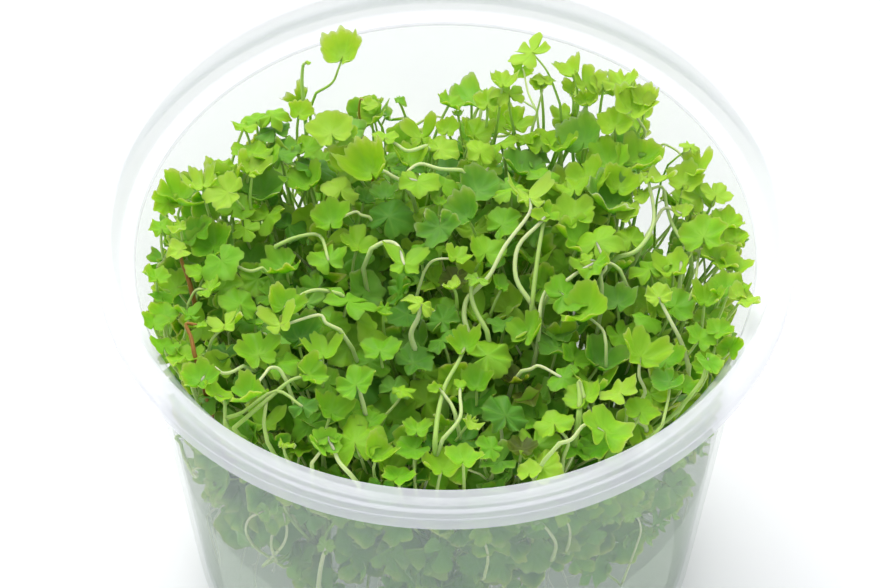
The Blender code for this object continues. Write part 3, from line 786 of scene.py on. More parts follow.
class BladeGrid:
    """Shared polar grid of every leaf blade: a thin closed lens over a lobed outline."""

    def __init__(self, form: BladeForm) -> None:
        """Lay out the grid's faces.

        Args:
            form: Resolution and surface of the blades.
        """
        self.form = form
        self.angles = np.linspace(-math.pi, math.pi, form.spokes, endpoint=False)
        self.faces = self._faces()

    def _faces(self) -> list[tuple[int, ...]]:
        """List the grid's faces.

        Returns:
            Faces over the vertices: top middle, top rings, edge ring, under rings, under middle.
        """
        spokes, bands = self.form.spokes, len(self.form.rings)
        last = 1 + spokes * (2 * bands - 1)
        faces: list[tuple[int, ...]] = []
        for i in range(spokes):
            j = (i + 1) % spokes
            faces.append((0, 1 + i, 1 + j))
            for band in range(bands - 1):
                a, b = 1 + band * spokes, 1 + (band + 1) * spokes
                faces.append((a + i, b + i, b + j, a + j))
            under = [1 + (bands - 1) * spokes] + [1 + (bands + band) * spokes for band in range(bands - 1)]
            for a, b in zip(under, under[1:]):
                faces.append((a + i, b + i, b + j, a + j))
            faces.append((under[-1] + j, under[-1] + i, last))
        return faces

    def outline(self, lobing: Lobing, rng: random.Random) -> np.ndarray:
        """Find the outline's radius at each spoke.

        Args:
            lobing: The kind of lobes.
            rng: Source of the small differences between leaves.

        Returns:
            Shares of the leaf's radius.
        """
        form = self.form
        total = np.full(form.spokes, form.heart**form.blend_power)
        for angle, distance, radius in lobing.value:
            lobe_angle = math.radians(angle + rng.uniform(-form.lobe_turn, form.lobe_turn))
            distance *= rng.uniform(*form.lobe_distances)
            radius *= rng.uniform(*form.lobe_radii)
            lobe = distance * math.cos(lobe_angle), distance * math.sin(lobe_angle)
            circles = [(*lobe, radius * form.lobe_share)]
            for tooth in form.tooth_angles:
                turned = lobe_angle + math.radians(tooth + rng.uniform(-form.tooth_turn, form.tooth_turn))
                reach = radius * form.tooth_reach * rng.uniform(*form.tooth_reaches)
                middle = lobe[0] + reach * math.cos(turned), lobe[1] + reach * math.sin(turned)
                circles.append((*middle, radius * form.tooth_radius))
            for x, y, size in circles:
                total += self._reach(x, y, size) ** form.blend_power
        share = total ** (1 / form.blend_power)
        number, phase = rng.choice(form.crenations), rng.uniform(0, math.pi)
        share *= 1 - form.crenation * (1 - np.abs(np.cos(self.angles * number / 2 + phase)))
        behind = (math.pi - np.abs(self.angles)) / math.radians(form.sinus_width)
        return share * (1 - form.sinus * np.exp(-(behind**2)))

    def _reach(self, x: float, y: float, size: float) -> np.ndarray:
        """Find how far each spoke runs to the far side of a circle.

        Args:
            x: Circle's middle along the tip.
            y: Circle's middle across it.
            size: Circle's radius.

        Returns:
            Distances, 0 where the spoke misses the circle.
        """
        along = x * np.cos(self.angles) + y * np.sin(self.angles)
        aside = size**2 - (x * np.sin(self.angles) - y * np.cos(self.angles)) ** 2
        return np.where(aside > 0, np.maximum(along + np.sqrt(np.maximum(aside, 0)), 0), 0)

    def surface(self, leaf: Leaf, rng: random.Random) -> tuple[np.ndarray, np.ndarray]:
        """Shape one blade.

        Args:
            leaf: The leaf.
            rng: Source of the small differences between leaves.

        Returns:
            The vertices' places in metres, and the tone, vein share, edge share and coolness of each.
        """
        form = self.form
        outline = self.outline(leaf.lobing, rng)
        share = np.concatenate([[0.0]] + [outline * ring for ring in form.rings])
        angle = np.concatenate([[0.0]] + [self.angles] * len(form.rings))
        ring = np.concatenate([[0.0]] + [np.full(form.spokes, value) for value in form.rings])
        x, y = share * np.cos(angle), share * np.sin(angle)
        cup, fold, curl = (rng.uniform(*ends) for ends in (form.cups, form.folds, form.curls))
        if leaf.lobing in (PAIR, NARROW):
            fold = rng.uniform(*form.narrow_folds)
        wave, turns = rng.uniform(*form.waves), rng.choice(form.wave_turns)
        phase = rng.uniform(0, form.wave_phase)
        vein = np.zeros_like(share)
        groove = np.zeros_like(share)
        for lobe_angle, _, _ in leaf.lobing.value:
            turned = angle - math.radians(lobe_angle)
            ahead = np.cos(turned) > 0
            off = share * np.sin(turned)
            groove += np.where(ahead, np.exp(-((off / form.groove_width) ** 2)), 0) * np.minimum(share * 2, 1)
            vein = np.maximum(vein, np.where(ahead, np.exp(-((off / form.vein_width) ** 2)), 0))
        folded = np.sqrt(y * y + form.fold_softness) - form.fold_rest
        z = cup * share**2 - curl * share**4 + fold * folded * share
        z += wave * share**2 * np.sin(turns * angle + phase) - form.groove * groove
        ruffle, waves = rng.uniform(*form.ruffle), rng.choice(form.ruffle_waves)
        z += ruffle * ring**3 * np.sin(waves * angle + 2 * phase)
        middle = np.stack([x, y, z], 1) * leaf.radius
        half = form.thickness / 2 * np.sqrt(np.maximum(1 - ring**2, 0))
        top, under = middle.copy(), middle.copy()
        top[:, 2] += half
        under[:, 2] -= half
        axes = np.array([leaf.tip, leaf.face.cross(leaf.tip), leaf.face])
        looks = np.stack([np.full_like(share, leaf.tone), vein, ring, np.full_like(share, leaf.cool)], 1)
        return np.array(leaf.joint) + self._closed(top, under) @ axes, self._closed(looks, looks)

    def _closed(self, top: np.ndarray, under: np.ndarray) -> np.ndarray:
        """Put the rows of a blade's two sides in the order of the grid's vertices.

        Args:
            top: A row for each vertex of the upper side.
            under: A row for each vertex of the lower side.

        Returns:
            The rows of both, with the rings of the lower side inwards from the edge.
        """
        bands, spokes = len(self.form.rings) - 1, self.form.spokes
        inner = under[1 : 1 + spokes * bands].reshape(bands, spokes, -1)
        return np.concatenate([top, inner[::-1].reshape(spokes * bands, -1), under[:1]])


class FoliageMesh:
    """Gathers the parts of one plantlet into a single mesh."""

    sharp_angle = math.radians(60)

    def __init__(self, name: str) -> None:
        """Start an empty mesh.

        Args:
            name: Name of the piece.
        """
        self.name = name
        self.places: list[np.ndarray] = []
        self.looks: list[np.ndarray] = []
        self.faces: list[tuple[int, ...]] = []
        self.slots: list[int] = []
        self.count = 0

    def add(self, places: np.ndarray, faces: list[tuple[int, ...]], slot: int, looks: np.ndarray) -> None:
        """Add one closed part.

        Args:
            places: Vertices in metres.
            faces: Faces over these vertices.
            slot: Index of the material.
            looks: Four look values for each vertex.
        """
        start = self.count
        self.faces += [tuple(start + i for i in face) for face in faces]
        self.slots += [slot] * len(faces)
        self.places.append(places)
        self.looks.append(looks)
        self.count += len(places)

    def add_tube(
        self,
        path: list[Vector],
        radii: list[float],
        slot: int,
        look: tuple[float, float, float],
        sides: int = 7,
    ) -> None:
        """Add a round closed tube along a path.

        Args:
            path: Points of its middle line.
            radii: Radius at each point.
            slot: Index of the material.
            look: Tone, paleness and warmth.
            sides: Number of faces around it.
        """
        rings = []
        across = (path[1] - path[0]).orthogonal().normalized()
        for i, point in enumerate(path):
            along = (path[min(i + 1, len(path) - 1)] - path[max(i - 1, 0)]).normalized()
            across = (across - along * across.dot(along)).normalized()
            side = along.cross(across)
            for k in range(sides):
                turned = math.tau * k / sides
                rings.append(point + (across * math.cos(turned) + side * math.sin(turned)) * radii[i])
        faces: list[tuple[int, ...]] = [tuple(reversed(range(sides)))]
        for i in range(len(path) - 1):
            for k in range(sides):
                j = (k + 1) % sides
                faces.append((i * sides + k, i * sides + j, (i + 1) * sides + j, (i + 1) * sides + k))
        faces.append(tuple((len(path) - 1) * sides + k for k in range(sides)))
        along_share = np.repeat(np.linspace(0, 1, len(path)), sides)
        looks = np.stack([np.full_like(along_share, value) for value in look] + [along_share], 1)
        self.add(np.array(rings), faces, slot, looks)

    def build(self, materials: list[bpy.types.Material]) -> bpy.types.Object:
        """Make the mesh object.

        Args:
            materials: Materials in slot order.

        Returns:
            The new object.
        """
        mesh = bpy.data.meshes.new(self.name)
        mesh.from_pydata(np.concatenate(self.places).tolist(), [], self.faces)
        for material in materials:
            mesh.materials.append(material)
        mesh.polygons.foreach_set("material_index", self.slots)
        mesh.polygons.foreach_set("use_smooth", [True] * len(self.faces))
        look = mesh.attributes.new("look", "FLOAT_COLOR", "POINT")
        look.data.foreach_set("color", np.concatenate(self.looks).ravel())
        mesh.set_sharp_from_angle(angle=self.sharp_angle)
        mesh.update()
        piece = bpy.data.objects.new(self.name, mesh)
        bpy.context.scene.collection.objects.link(piece)
        return piece


def bezier(points: list[Vector], steps: int) -> list[Vector]:
    """Trace a Bezier curve.

    Args:
        points: Its control points.
        steps: Number of stretches.

    Returns:
        Points along the curve.
    """
    path = []
    for i in range(steps + 1):
        level = list(points)
        while len(level) > 1:
            level = [a.lerp(b, i / steps) for a, b in zip(level, level[1:])]
        path.append(level[0])
    return path


def smooth_through(points: list[Vector], steps: int) -> list[Vector]:
    """Trace a smooth curve through points.

    Args:
        points: Points to pass through, in order.
        steps: Number of stretches between two points.

    Returns:
        Points along the curve.
    """
    ends = [points[0] * 2 - points[1], *points, points[-1] * 2 - points[-2]]
    path = []
    for a, b, c, d in zip(ends, ends[1:], ends[2:], ends[3:]):
        for i in range(steps):
            t = i / steps
            square, cube = a * 2 - b * 5 + c * 4 - d, b * 3 - a - c * 3 + d
            path.append((b * 2 + (c - a) * t + square * t * t + cube * t**3) / 2)
    return path + [points[-1]]


def turned_tip(face: Vector, rng: random.Random) -> Vector:
    """Choose the direction of a leaf's tip."""
    return Matrix.Rotation(rng.uniform(0, math.tau), 3, face) @ face.orthogonal().normalized()


def keep_inside(point: Vector, margin: float) -> Vector:
    """Move a point straight inwards until it is clear of the cup's wall.

    Args:
        point: Point in metres.
        margin: Clearance in metres.

    Returns:
        The point, moved where needed.
    """
    limit = CUP.room(point.z) - margin
    across = point.xy.length
    if across <= limit:
        return point
    return Vector((point.x * limit / across, point.y * limit / across, point.z))


class CadPlantlet:
    """Reads a plantlet's foot, leaves and petiole routes back from its CAD node."""

    blade_rim = 11
    plain_tone = 0.4
    steps_per_metre = 1e6
    flatness = 1e-6
    foot_depth = 0.1 * MM
    crown_height = 5.8 * MM

    def __init__(self, node: bpy.types.Object) -> None:
        """Read the node.

        Args:
            node: The CAD node.
        """
        self.name = node.name
        keys: dict[tuple[int, ...], int] = {}
        self.points: list[Vector] = []
        index = []
        for vertex in node.data.vertices:
            place = node.matrix_world @ vertex.co
            key = tuple(round(value * self.steps_per_metre) for value in place)
            if key not in keys:
                keys[key] = len(self.points)
                self.points.append(place)
            index.append(keys[key])
        self.near: dict[int, set[int]] = {i: set() for i in range(len(self.points))}
        for edge in node.data.edges:
            a, b = (index[i] for i in edge.vertices)
            if a != b:
                self.near[a].add(b)
                self.near[b].add(a)
        low = min(point.z for point in self.points)
        feet = [point for point in self.points if point.z < low + self.foot_depth]
        self.foot = sum(feet, Vector()) / len(feet)
        self.crown = self.foot + UP * self.crown_height
        self.leaves = [self._leaf(i) for i, near in self.near.items() if len(near) >= self.blade_rim]

    def _leaf(self, middle: int) -> Leaf:
        """Read one leaf.

        Args:
            middle: Index of the vertex over the blade's middle.

        Returns:
            The leaf with its petiole's waypoints.
        """
        rim = self.near[middle]
        centre = self.points[middle]
        ordered = sorted(rim, key=lambda i: (self.points[i] - centre).length)
        notch = self.points[ordered[0]]
        face = Vector()
        for i in rim:
            for j in self.near[i] & rim:
                turn = face_normal(centre, self.points[i], self.points[j])
                face += turn if turn.z > 0 or abs(turn.z) < self.flatness else -turn
        face.normalize()
        tip = centre - notch
        tip = (tip - face * tip.dot(face)).normalized()
        radius = max((self.points[i] - centre).length for i in rim)
        seen = set(rim) | {middle}
        front, waypoints = set(rim), []
        for _ in range(3):
            front = {j for i in front for j in self.near[i]} - seen
            if len(front) != 4:
                break
            seen |= front
            waypoints.append(sum((self.points[i] for i in front), Vector()) / 4)
        return Leaf(centre, tip, face, radius, self.plain_tone, THREE, tuple(reversed(waypoints[1:])))


@dataclass
class PlantletParts:
    """One plantlet as it will be built: its CAD reading, leaves and bare petioles."""

    cad: CadPlantlet
    leaves: list[Leaf]
    stems: list[tuple[list[Vector], PhotoStem]]


class Foliage:
    """Places every leaf, shares them out among the plantlets and builds the plantlets' pieces."""

    def __init__(self, nodes: list[bpy.types.Object], fill: FillShape) -> None:
        """Read the CAD plantlets.

        Args:
            nodes: Their CAD nodes.
            fill: Numbers and sizes of the filling leaves.
        """
        self.fill = fill
        self.fine_grid = BladeGrid(BladeForm())
        self.plain_grid = BladeGrid(BladeForm(spokes=48, rings=(0.4, 0.8, 1.0), crenations=(11, 13)))
        self.petiole = PetioleForm()
        self.rng = random.Random(fill.seed)
        self.plantlets = [PlantletParts(CadPlantlet(node), [], []) for node in nodes]

    def nearest(self, place: Vector) -> PlantletParts:
        """Find the plantlet whose spread lies nearest to a place, rather one with few leaves.

        Args:
            place: Place in the cup.

        Returns:
            The plantlet.
        """
        spread, crowding = self.fill.spread, self.fill.crowding
        return min(
            self.plantlets,
            key=lambda parts: (parts.cad.foot.xy * spread - place.xy).length + crowding * len(parts.leaves),
        )

    def surface_place(self, x: float, y: float, lift: float) -> Vector:
        """Find the place on the canopy that a pixel shows.

        Args:
            x: Pixel column.
            y: Pixel row.
            lift: Height over the canopy in metres.

        Returns:
            The place in metres.
        """
        place = VIEW.at_height(x, y, CANOPY.height)
        for _ in range(READING.height_steps):
            height = (place.z + CANOPY.top(place.x, place.y) + lift) / 2
            place = VIEW.at_height(x, y, height)
        return place

    def place_photo_leaves(self) -> None:
        """Place the leaves that were read off the photograph."""
        towards, read = -VIEW.forward, READING
        for entry in PHOTO_LEAVES:
            if entry.height:
                middle = VIEW.at_height(entry.x, entry.y, entry.height * MM)
            else:
                lift = (entry.tone - read.level_tone) * read.lift_per_tone * MM
                middle = self.surface_place(entry.x, entry.y, lift)
            back = min(max((read.back_row - entry.y) / read.back_rows, 0.0), 1.0)
            radius = VIEW.length(entry.half, middle) / (read.seen_share + read.back_share * back)
            across = math.acos(read.least_facing + (1 - read.least_facing) * entry.facing)
            tilt = Vector((*(self.rng.uniform(-reach, reach) for reach in read.leaf_tilts), 0))
            face = (towards * math.cos(across) + VIEW.up * math.sin(across) + tilt).normalized()
            tip = VIEW.tip_direction(face, entry.heading)
            joint = keep_inside(middle - tip * radius * read.middle_share, radius * read.clearance_share)
            heights = [joint.z - (read.first_drop + read.next_drop * i) * MM for i in range(len(entry.stem))]
            route = [VIEW.at_height(*pixel, height) for pixel, height in zip(entry.stem, heights)]
            tone, waypoints = entry.tone + self.lit(joint), tuple(reversed(route))
            shape = joint, tip, face, radius, tone, entry.lobing, waypoints
            warm = 0.0 if entry.pale else read.bare_warmth
            look = entry.pale, warm, entry.girth * MM, self.cool_of_tone(entry.tone)
            self.nearest(joint).leaves.append(Leaf(*shape, *look))
        LOG.info("placed %d leaves of the photograph", len(PHOTO_LEAVES))

    def cool_of_tone(self, tone: float) -> float:
        """Choose how bluish a leaf of the photograph is.

        Args:
            tone: The tone read off for it.

        Returns:
            A share from 0 to 1, or more for a withered leaf.
        """
        low, high = READING.cool_tones
        if low < tone < high:
            return self.rng.uniform(*READING.cool_shares)
        return READING.withered if tone < READING.withered_tone else 0.0

    def lit(self, spot: Vector) -> float:
        """Find how much painted light to add to a leaf's tone towards the back and the right, where most
        light falls.

        Args:
            spot: Place of the leaf.

        Returns:
            What to add to its tone.
        """
        fill = self.fill
        share = max(spot.y, 0.0) + fill.right_share * max(spot.x, 0.0) - fill.front_share * max(-spot.y, 0.0)
        return fill.back_light * share / CUP.ledge_radius

    def place_photo_stems(self) -> None:
        """Lead each bare petiole that was read off the photograph up to the leaf nearest its top."""
        rng, read = self.rng, READING
        for stem in PHOTO_STEMS:
            lifts = [stem.lift * MM - read.stem_slope * MM * i for i in range(len(stem.path))]
            path = [self.surface_place(*pixel, lift) for pixel, lift in zip(stem.path, lifts)]
            route = tuple(keep_inside(point, read.stem_clearance * MM) for point in reversed(path))
            top = route[-1] + (route[-1] - route[-2]).normalized() * read.stem_end * MM
            pairs = [(parts, leaf) for parts in self.plantlets for leaf in parts.leaves]
            free = [pair for pair in pairs if self.may_carry(pair[1])]
            parts, leaf = min(free, key=lambda pair: (pair[1].joint - top).length)
            look = stem.pale, stem.warm, stem.girth * MM
            if (leaf.joint - top).length < read.stem_grasp * MM:
                pixel = VIEW.pixel(leaf.joint)
                raised = VIEW.at_height(pixel.x, pixel.y, max(leaf.joint.z, top.z))
                joint = keep_inside(raised, leaf.radius * read.clearance_share)
                parts.leaves.remove(leaf)
                shape = joint, leaf.tip, leaf.face, leaf.radius, leaf.tone, leaf.lobing
                parts.leaves.append(Leaf(*shape, route, *look, leaf.cool))
                continue
            tilt = Vector((*(rng.uniform(-reach, reach) for reach in read.tip_tilts), 0))
            face = (UP - VIEW.forward * read.tip_lean + tilt).normalized()
            joint, radius = keep_inside(top, MM), rng.uniform(*read.tip_radii) * MM
            tip = turned_tip(face, rng)
            tone, lobing = rng.uniform(*read.tip_tones), rng.choice((THREE, BROAD, NARROW))
            self.nearest(joint).leaves.append(Leaf(joint, tip, face, radius, tone, lobing, route, *look))

    def place_photo_wall_stems(self) -> None:
        """Lead the petioles seen through the front wall up to small leaves pressed against it."""
        rng, read = self.rng, READING
        for stem in PHOTO_WALL_STEMS:
            joint, *path = (self.wall_place(*pixel) for pixel in stem.path)
            face = Vector((joint.x, joint.y, rng.uniform(*read.wall_rises) * joint.xy.length)).normalized()
            tip = turned_tip(face, rng)
            radius, tone = rng.uniform(*read.wall_radii) * MM, rng.uniform(*read.wall_tones)
            lobing = rng.choice((THREE, BROAD, ROUND))
            shape = joint, tip, face, radius, tone, lobing, tuple(reversed(path))
            self.nearest(joint).leaves.append(Leaf(*shape, stem.pale, stem.warm, stem.girth * MM))

    @staticmethod
    def wall_place(x: float, y: float) -> Vector:
        """Find the place just inside the front wall that a pixel shows.

        Args:
            x: Pixel column.
            y: Pixel row.

        Returns:
            The place in metres.
        """
        low, high = CUP.gel_top, CUP.ledge_height
        for _ in range(READING.wall_steps):
            height = (low + high) / 2
            limit = CUP.inner_radius(height) - READING.wall_clearance * MM
            low, high = (height, high) if VIEW.at_height(x, y, height).xy.length < limit else (low, height)
        return VIEW.at_height(x, y, low)

    @staticmethod
    def may_carry(leaf: Leaf) -> bool:
        """Tell whether a leaf can take a petiole of the photograph in place of its own."""
        return leaf.whole_route or not leaf.waypoints

    def place_cad_leaves(self) -> None:
        """Carry over the CAD leaves, but for those that a leaf of the photograph stands for."""
        rng, fill, kept = self.rng, self.fill, 0
        taken = [leaf.joint for parts in self.plantlets for leaf in parts.leaves]
        for parts in self.plantlets:
            for leaf in parts.cad.leaves:
                if any((leaf.joint - joint).length < fill.cad_spacing for joint in taken):
                    continue
                if self.hides_gap(leaf.joint, leaf.radius):
                    continue
                depth = CANOPY.top(leaf.joint.x, leaf.joint.y) - leaf.joint.z
                # Painted shade: the deeper a leaf lies below the canopy, the lower its tone.
                tone = fill.cad_tone - depth / fill.cad_shade_depth + rng.uniform(-fill.cad_spread, fill.cad_spread)
                tone = min(max(tone, fill.cad_tones[0]), fill.cad_tones[1]) + self.lit(leaf.joint)
                lobing = rng.choice((THREE, THREE, BROAD, BROAD, ROUND, DEEP))
                look = rng.uniform(*fill.cad_pales), 0.0, rng.uniform(*fill.cad_girths), self.cool_share()
                place, radius = (leaf.joint, leaf.tip, leaf.face), leaf.radius * fill.cad_growth
                outline = radius, tone, lobing, leaf.waypoints
                parts.leaves.append(Leaf(*place, *outline, *look, True, depth < fill.fine_depth))
                kept += 1
        LOG.info("carried over %d CAD leaves", kept)

    def cool_share(self) -> float:
        """Choose how bluish a leaf is: a few are clearly so."""
        cool = self.rng.random() < self.fill.cool_chance
        return self.rng.uniform(*(self.fill.cool_shares if cool else self.fill.plain_shares))

    def hides_gap(self, spot: Vector, radius: float) -> bool:
        """Tell whether a leaf would cover one of the photograph's gaps.

        Args:
            spot: Place of the leaf.
            radius: The leaf's radius.

        Returns:
            True where it would.
        """
        pixel = VIEW.pixel(spot)
        reach = self.fill.gap_share * radius / VIEW.length(1.0, spot)
        return any((pixel - Vector((x, y))).length < reach + gap for x, y, gap in PHOTO_GAPS)

    def place_fill(self) -> None:
        """Fill the canopy's depth with layers of leaves, evenly spread."""
        rng = self.rng
        for layer in self.fill.layers:
            placed: list[Vector] = []
            for _ in range(layer.count):
                spots = []
                for _ in range(self.fill.candidates):
                    angle, reach = rng.uniform(0, math.tau), math.sqrt(rng.random()) * layer.reach
                    x, y = reach * math.cos(angle), reach * math.sin(angle)
                    spots.append(Vector((x, y, CANOPY.top(x, y) - rng.uniform(*layer.depths))))
                gaps = [min([(spot - other).length for other in placed], default=1.0) for spot in spots]
                best = spots[gaps.index(max(gaps))]
                placed.append(best)
                lean = Vector((0.0, self.fill.layer_lean, 1.0))
                self._add_random(best, lean, rng.uniform(*layer.tones), layer.radii)

    def place_wall_leaves(self) -> None:
        """Set leaves against the wall at all heights, where they show through it."""
        rng, fill = self.rng, self.fill
        for i in range(fill.wall_count):
            angle, height = i * GOLDEN, rng.uniform(*fill.wall_heights)
            radius = CUP.inner_radius(height) - rng.uniform(*fill.wall_inset) - fill.wall_clearance
            out = Vector((math.cos(angle), math.sin(angle), 0.0))
            top = CANOPY.top(out.x * radius, out.y * radius)
            if height > top - MM:
                height = top - rng.uniform(*fill.wall_drops)
            lean = out * fill.wall_lean + UP * rng.uniform(*fill.wall_rises)
            self._add_random(out * radius + UP * height, lean, rng.uniform(*fill.wall_tones), fill.wall_radii)

    def place_wall_loops(self) -> None:
        """Press pale winding petioles flat against the wall, where they show clearest through it."""
        rng, fill = self.rng, self.fill
        for i in range(fill.loop_count):
            angle, height = i * GOLDEN + fill.loop_start, rng.uniform(*fill.loop_heights)
            turn, side, path = rng.uniform(0, math.tau), rng.choice((-1, 1)), []
            for _ in range(fill.loop_steps):
                radius = CUP.inner_radius(height) - fill.loop_clearance
                angle += rng.uniform(*fill.loop_stride) * math.cos(turn) / radius
                height += rng.uniform(*fill.loop_stride) * math.sin(turn)
                turn += side * rng.uniform(*fill.loop_turn)
                path.append(Vector((math.cos(angle) * radius, math.sin(angle) * radius, height)))
            highest = max(point.z + fill.loop_depth - CANOPY.top(point.x, point.y) for point in path)
            if highest > 0 or path[0].y < fill.loop_front:
                continue
            share, drop = fill.loop_end_share, fill.loop_end_drop
            ends = [Vector((end.x * share, end.y * share, end.z - drop)) for end in (path[0], path[-1])]
            path = [keep_inside(point, fill.wall_clearance) for point in (ends[0], *path, ends[1])]
            parts = self.nearest(path[0])
            stem = PhotoStem((), rng.uniform(*fill.loop_pales), 0.0, rng.uniform(*fill.loop_girths))
            parts.stems.append(([parts.cad.crown, *path], stem))

    def _add_random(self, spot: Vector, lean: Vector, tone: float, radii: tuple[float, float]) -> None:
        """Add one leaf with a random turn about a leaning face.

        Args:
            spot: Place of its joint.
            lean: Direction in which its face leans.
            tone: How light it is.
            radii: Least and largest radius.
        """
        rng, fill = self.rng, self.fill
        jitter = Vector((rng.gauss(0, fill.jitter), rng.gauss(0, fill.jitter), 0.0))
        face = (lean.normalized() + jitter).normalized()
        tip = turned_tip(face, rng)
        radius = rng.uniform(*radii)
        spot = Vector((spot.x, spot.y, max(spot.z, CUP.gel_top + radius)))
        if self.hides_gap(spot, radius):
            return
        tone += self.lit(spot)
        lobing = rng.choice((THREE, THREE, BROAD, BROAD, ROUND, DEEP, PAIR))
        joint = keep_inside(spot, radius * fill.joint_share)
        look = rng.uniform(*fill.pales), 0.0, rng.uniform(*fill.girths), self.cool_share()
        self.nearest(joint).leaves.append(Leaf(joint, tip, face, radius, tone, lobing, (), *look, fine=False))

    def route(self, parts: PlantletParts, leaf: Leaf) -> list[Vector]:
        """Lead a petiole from the crown to its leaf.

        Args:
            parts: The plantlet.
            leaf: The leaf.

        Returns:
            Points along the petiole.
        """
        form, crown = self.petiole, parts.cad.crown
        end = leaf.joint - leaf.face * form.seat * MM
        if leaf.whole_route:
            return smooth_through([crown, *leaf.waypoints, end], form.steps)
        lead = leaf.waypoints[0] if leaf.waypoints else end
        rise = lead.z - crown.z
        turns = [self.rng.uniform(-form.bend, form.bend) for _ in range(2)]
        bend = Vector((*turns, 0.0)) * MM
        if leaf.waypoints:
            down = (leaf.waypoints[0] - leaf.waypoints[1]).normalized() if len(leaf.waypoints) > 1 else -UP
            down = (down - UP).normalized()
            first, second = form.rises
            controls = [crown, crown + UP * rise * first + bend, lead + down * rise * second, lead]
            low = bezier([keep_inside(point, MM) for point in controls], form.low_steps)
            return low[:-1] + smooth_through([*leaf.waypoints, end], form.steps)
        first, second = form.plain_rises
        under = end - leaf.face * rise * second + bend * form.plain_bend
        over = crown + UP * rise * first + bend
        controls = [keep_inside(point, form.plain_clearance * MM) for point in (over, under)]
        return bezier([crown, *controls, end], form.plain_steps[leaf.fine])

    def settle(self, places: np.ndarray) -> np.ndarray:
        """Shift a blade inwards where it would pass through the cup's wall.

        Args:
            places: The blade's vertices.

        Returns:
            The shifted vertices.
        """
        across = np.hypot(places[:, 0], places[:, 1])
        limit = np.array([CUP.room(z) for z in places[:, 2]]) - self.fill.blade_clearance
        over = across - limit
        worst = int(np.argmax(over))
        if over[worst] <= 0:
            return places
        out = places[worst, :2] / across[worst]
        moved = places.copy()
        moved[:, :2] -= out * over[worst]
        return moved

    def build(self, materials: list[bpy.types.Material]) -> list[bpy.types.Object]:
        """Build the plantlets' pieces.

        Args:
            materials: Leaf, petiole and root materials.

        Returns:
            The new pieces.
        """
        pieces, form = [], self.petiole
        for number, parts in enumerate(self.plantlets):
            mesh = FoliageMesh(f"{parts.cad.name}_foliage")
            rng = random.Random(number)
            self._add_base(mesh, parts.cad, rng)
            for leaf in parts.leaves:
                grid = self.fine_grid if leaf.fine else self.plain_grid
                places, looks = grid.surface(leaf, rng)
                settled = self.settle(places)
                shift = Vector(settled[0] - places[0])
                mesh.add(settled, grid.faces, 0, looks)
                path = self.route(parts, replace(leaf, joint=leaf.joint + shift))
                wide, taper = form.taper
                radii = [leaf.girth * (wide - taper * i / (len(path) - 1)) for i in range(len(path))]
                look = leaf.tone, leaf.pale, leaf.warm
                mesh.add_tube(path, radii, 1, look, form.sides[bool(leaf.waypoints)])
            for path, stem in parts.stems:
                line, (wide, taper) = smooth_through(path, form.loop_steps), form.loop_taper
                shares = [i / (len(line) - 1) for i in range(len(line))]
                radii = [stem.girth * MM * (wide - taper * share**3) for share in shares]
                mesh.add_tube(line, radii, 1, (form.loop_tone, stem.pale, stem.warm))
            piece = mesh.build(materials)
            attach(piece, "root")
            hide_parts(parts.cad.name)
            pieces.append(piece)
        leaves = sum(len(parts.leaves) for parts in self.plantlets)
        LOG.info("built %d plantlets with %d leaves", len(pieces), leaves)
        for piece in pieces:
            triangles = sum(len(face.vertices) - 2 for face in piece.data.polygons)
            LOG.info("%s has %d triangles", piece.name, triangles)
        return pieces

    def _add_base(self, mesh: FoliageMesh, cad: CadPlantlet, rng: random.Random) -> None:
        """Add a plantlet's short stem and its roots in the gel.

        Args:
            mesh: The plantlet's mesh.
            cad: The CAD plantlet.
            rng: Source of the roots' turns.
        """
        form, foot = self.petiole, cad.foot
        stem = [foot + UP * height * MM for height in form.stem_heights]
        mesh.add_tube(stem, [radius * MM for radius in form.stem_radii], 1, form.stem_look)
        for _ in range(form.roots):
            angle, reach = rng.uniform(0, math.tau), rng.uniform(*form.root_reaches) * MM
            out = Vector((math.cos(angle), math.sin(angle), 0.0)) * reach
            depth = rng.uniform(*form.root_depths) * MM
            start = foot + UP * form.root_start * MM
            turns = [rng.uniform(-form.root_curl, form.root_curl) for _ in range(2)]
            curl = Vector((*turns, 0.0)) * MM
            upper, lower, end = (start + out * wide - UP * depth * deep for wide, deep in form.root_bends)
            path = bezier([start, upper, lower + curl, end], form.root_steps)
            path = [path[0], *(keep_inside(point, form.root_clearance * MM) for point in path[1:])]
            shares = [i / form.root_steps for i in range(form.root_steps + 1)]
            radii = [form.root_radius * MM * (1 - form.root_taper * share) for share in shares]
            mesh.add_tube(path, radii, 2, form.root_look)


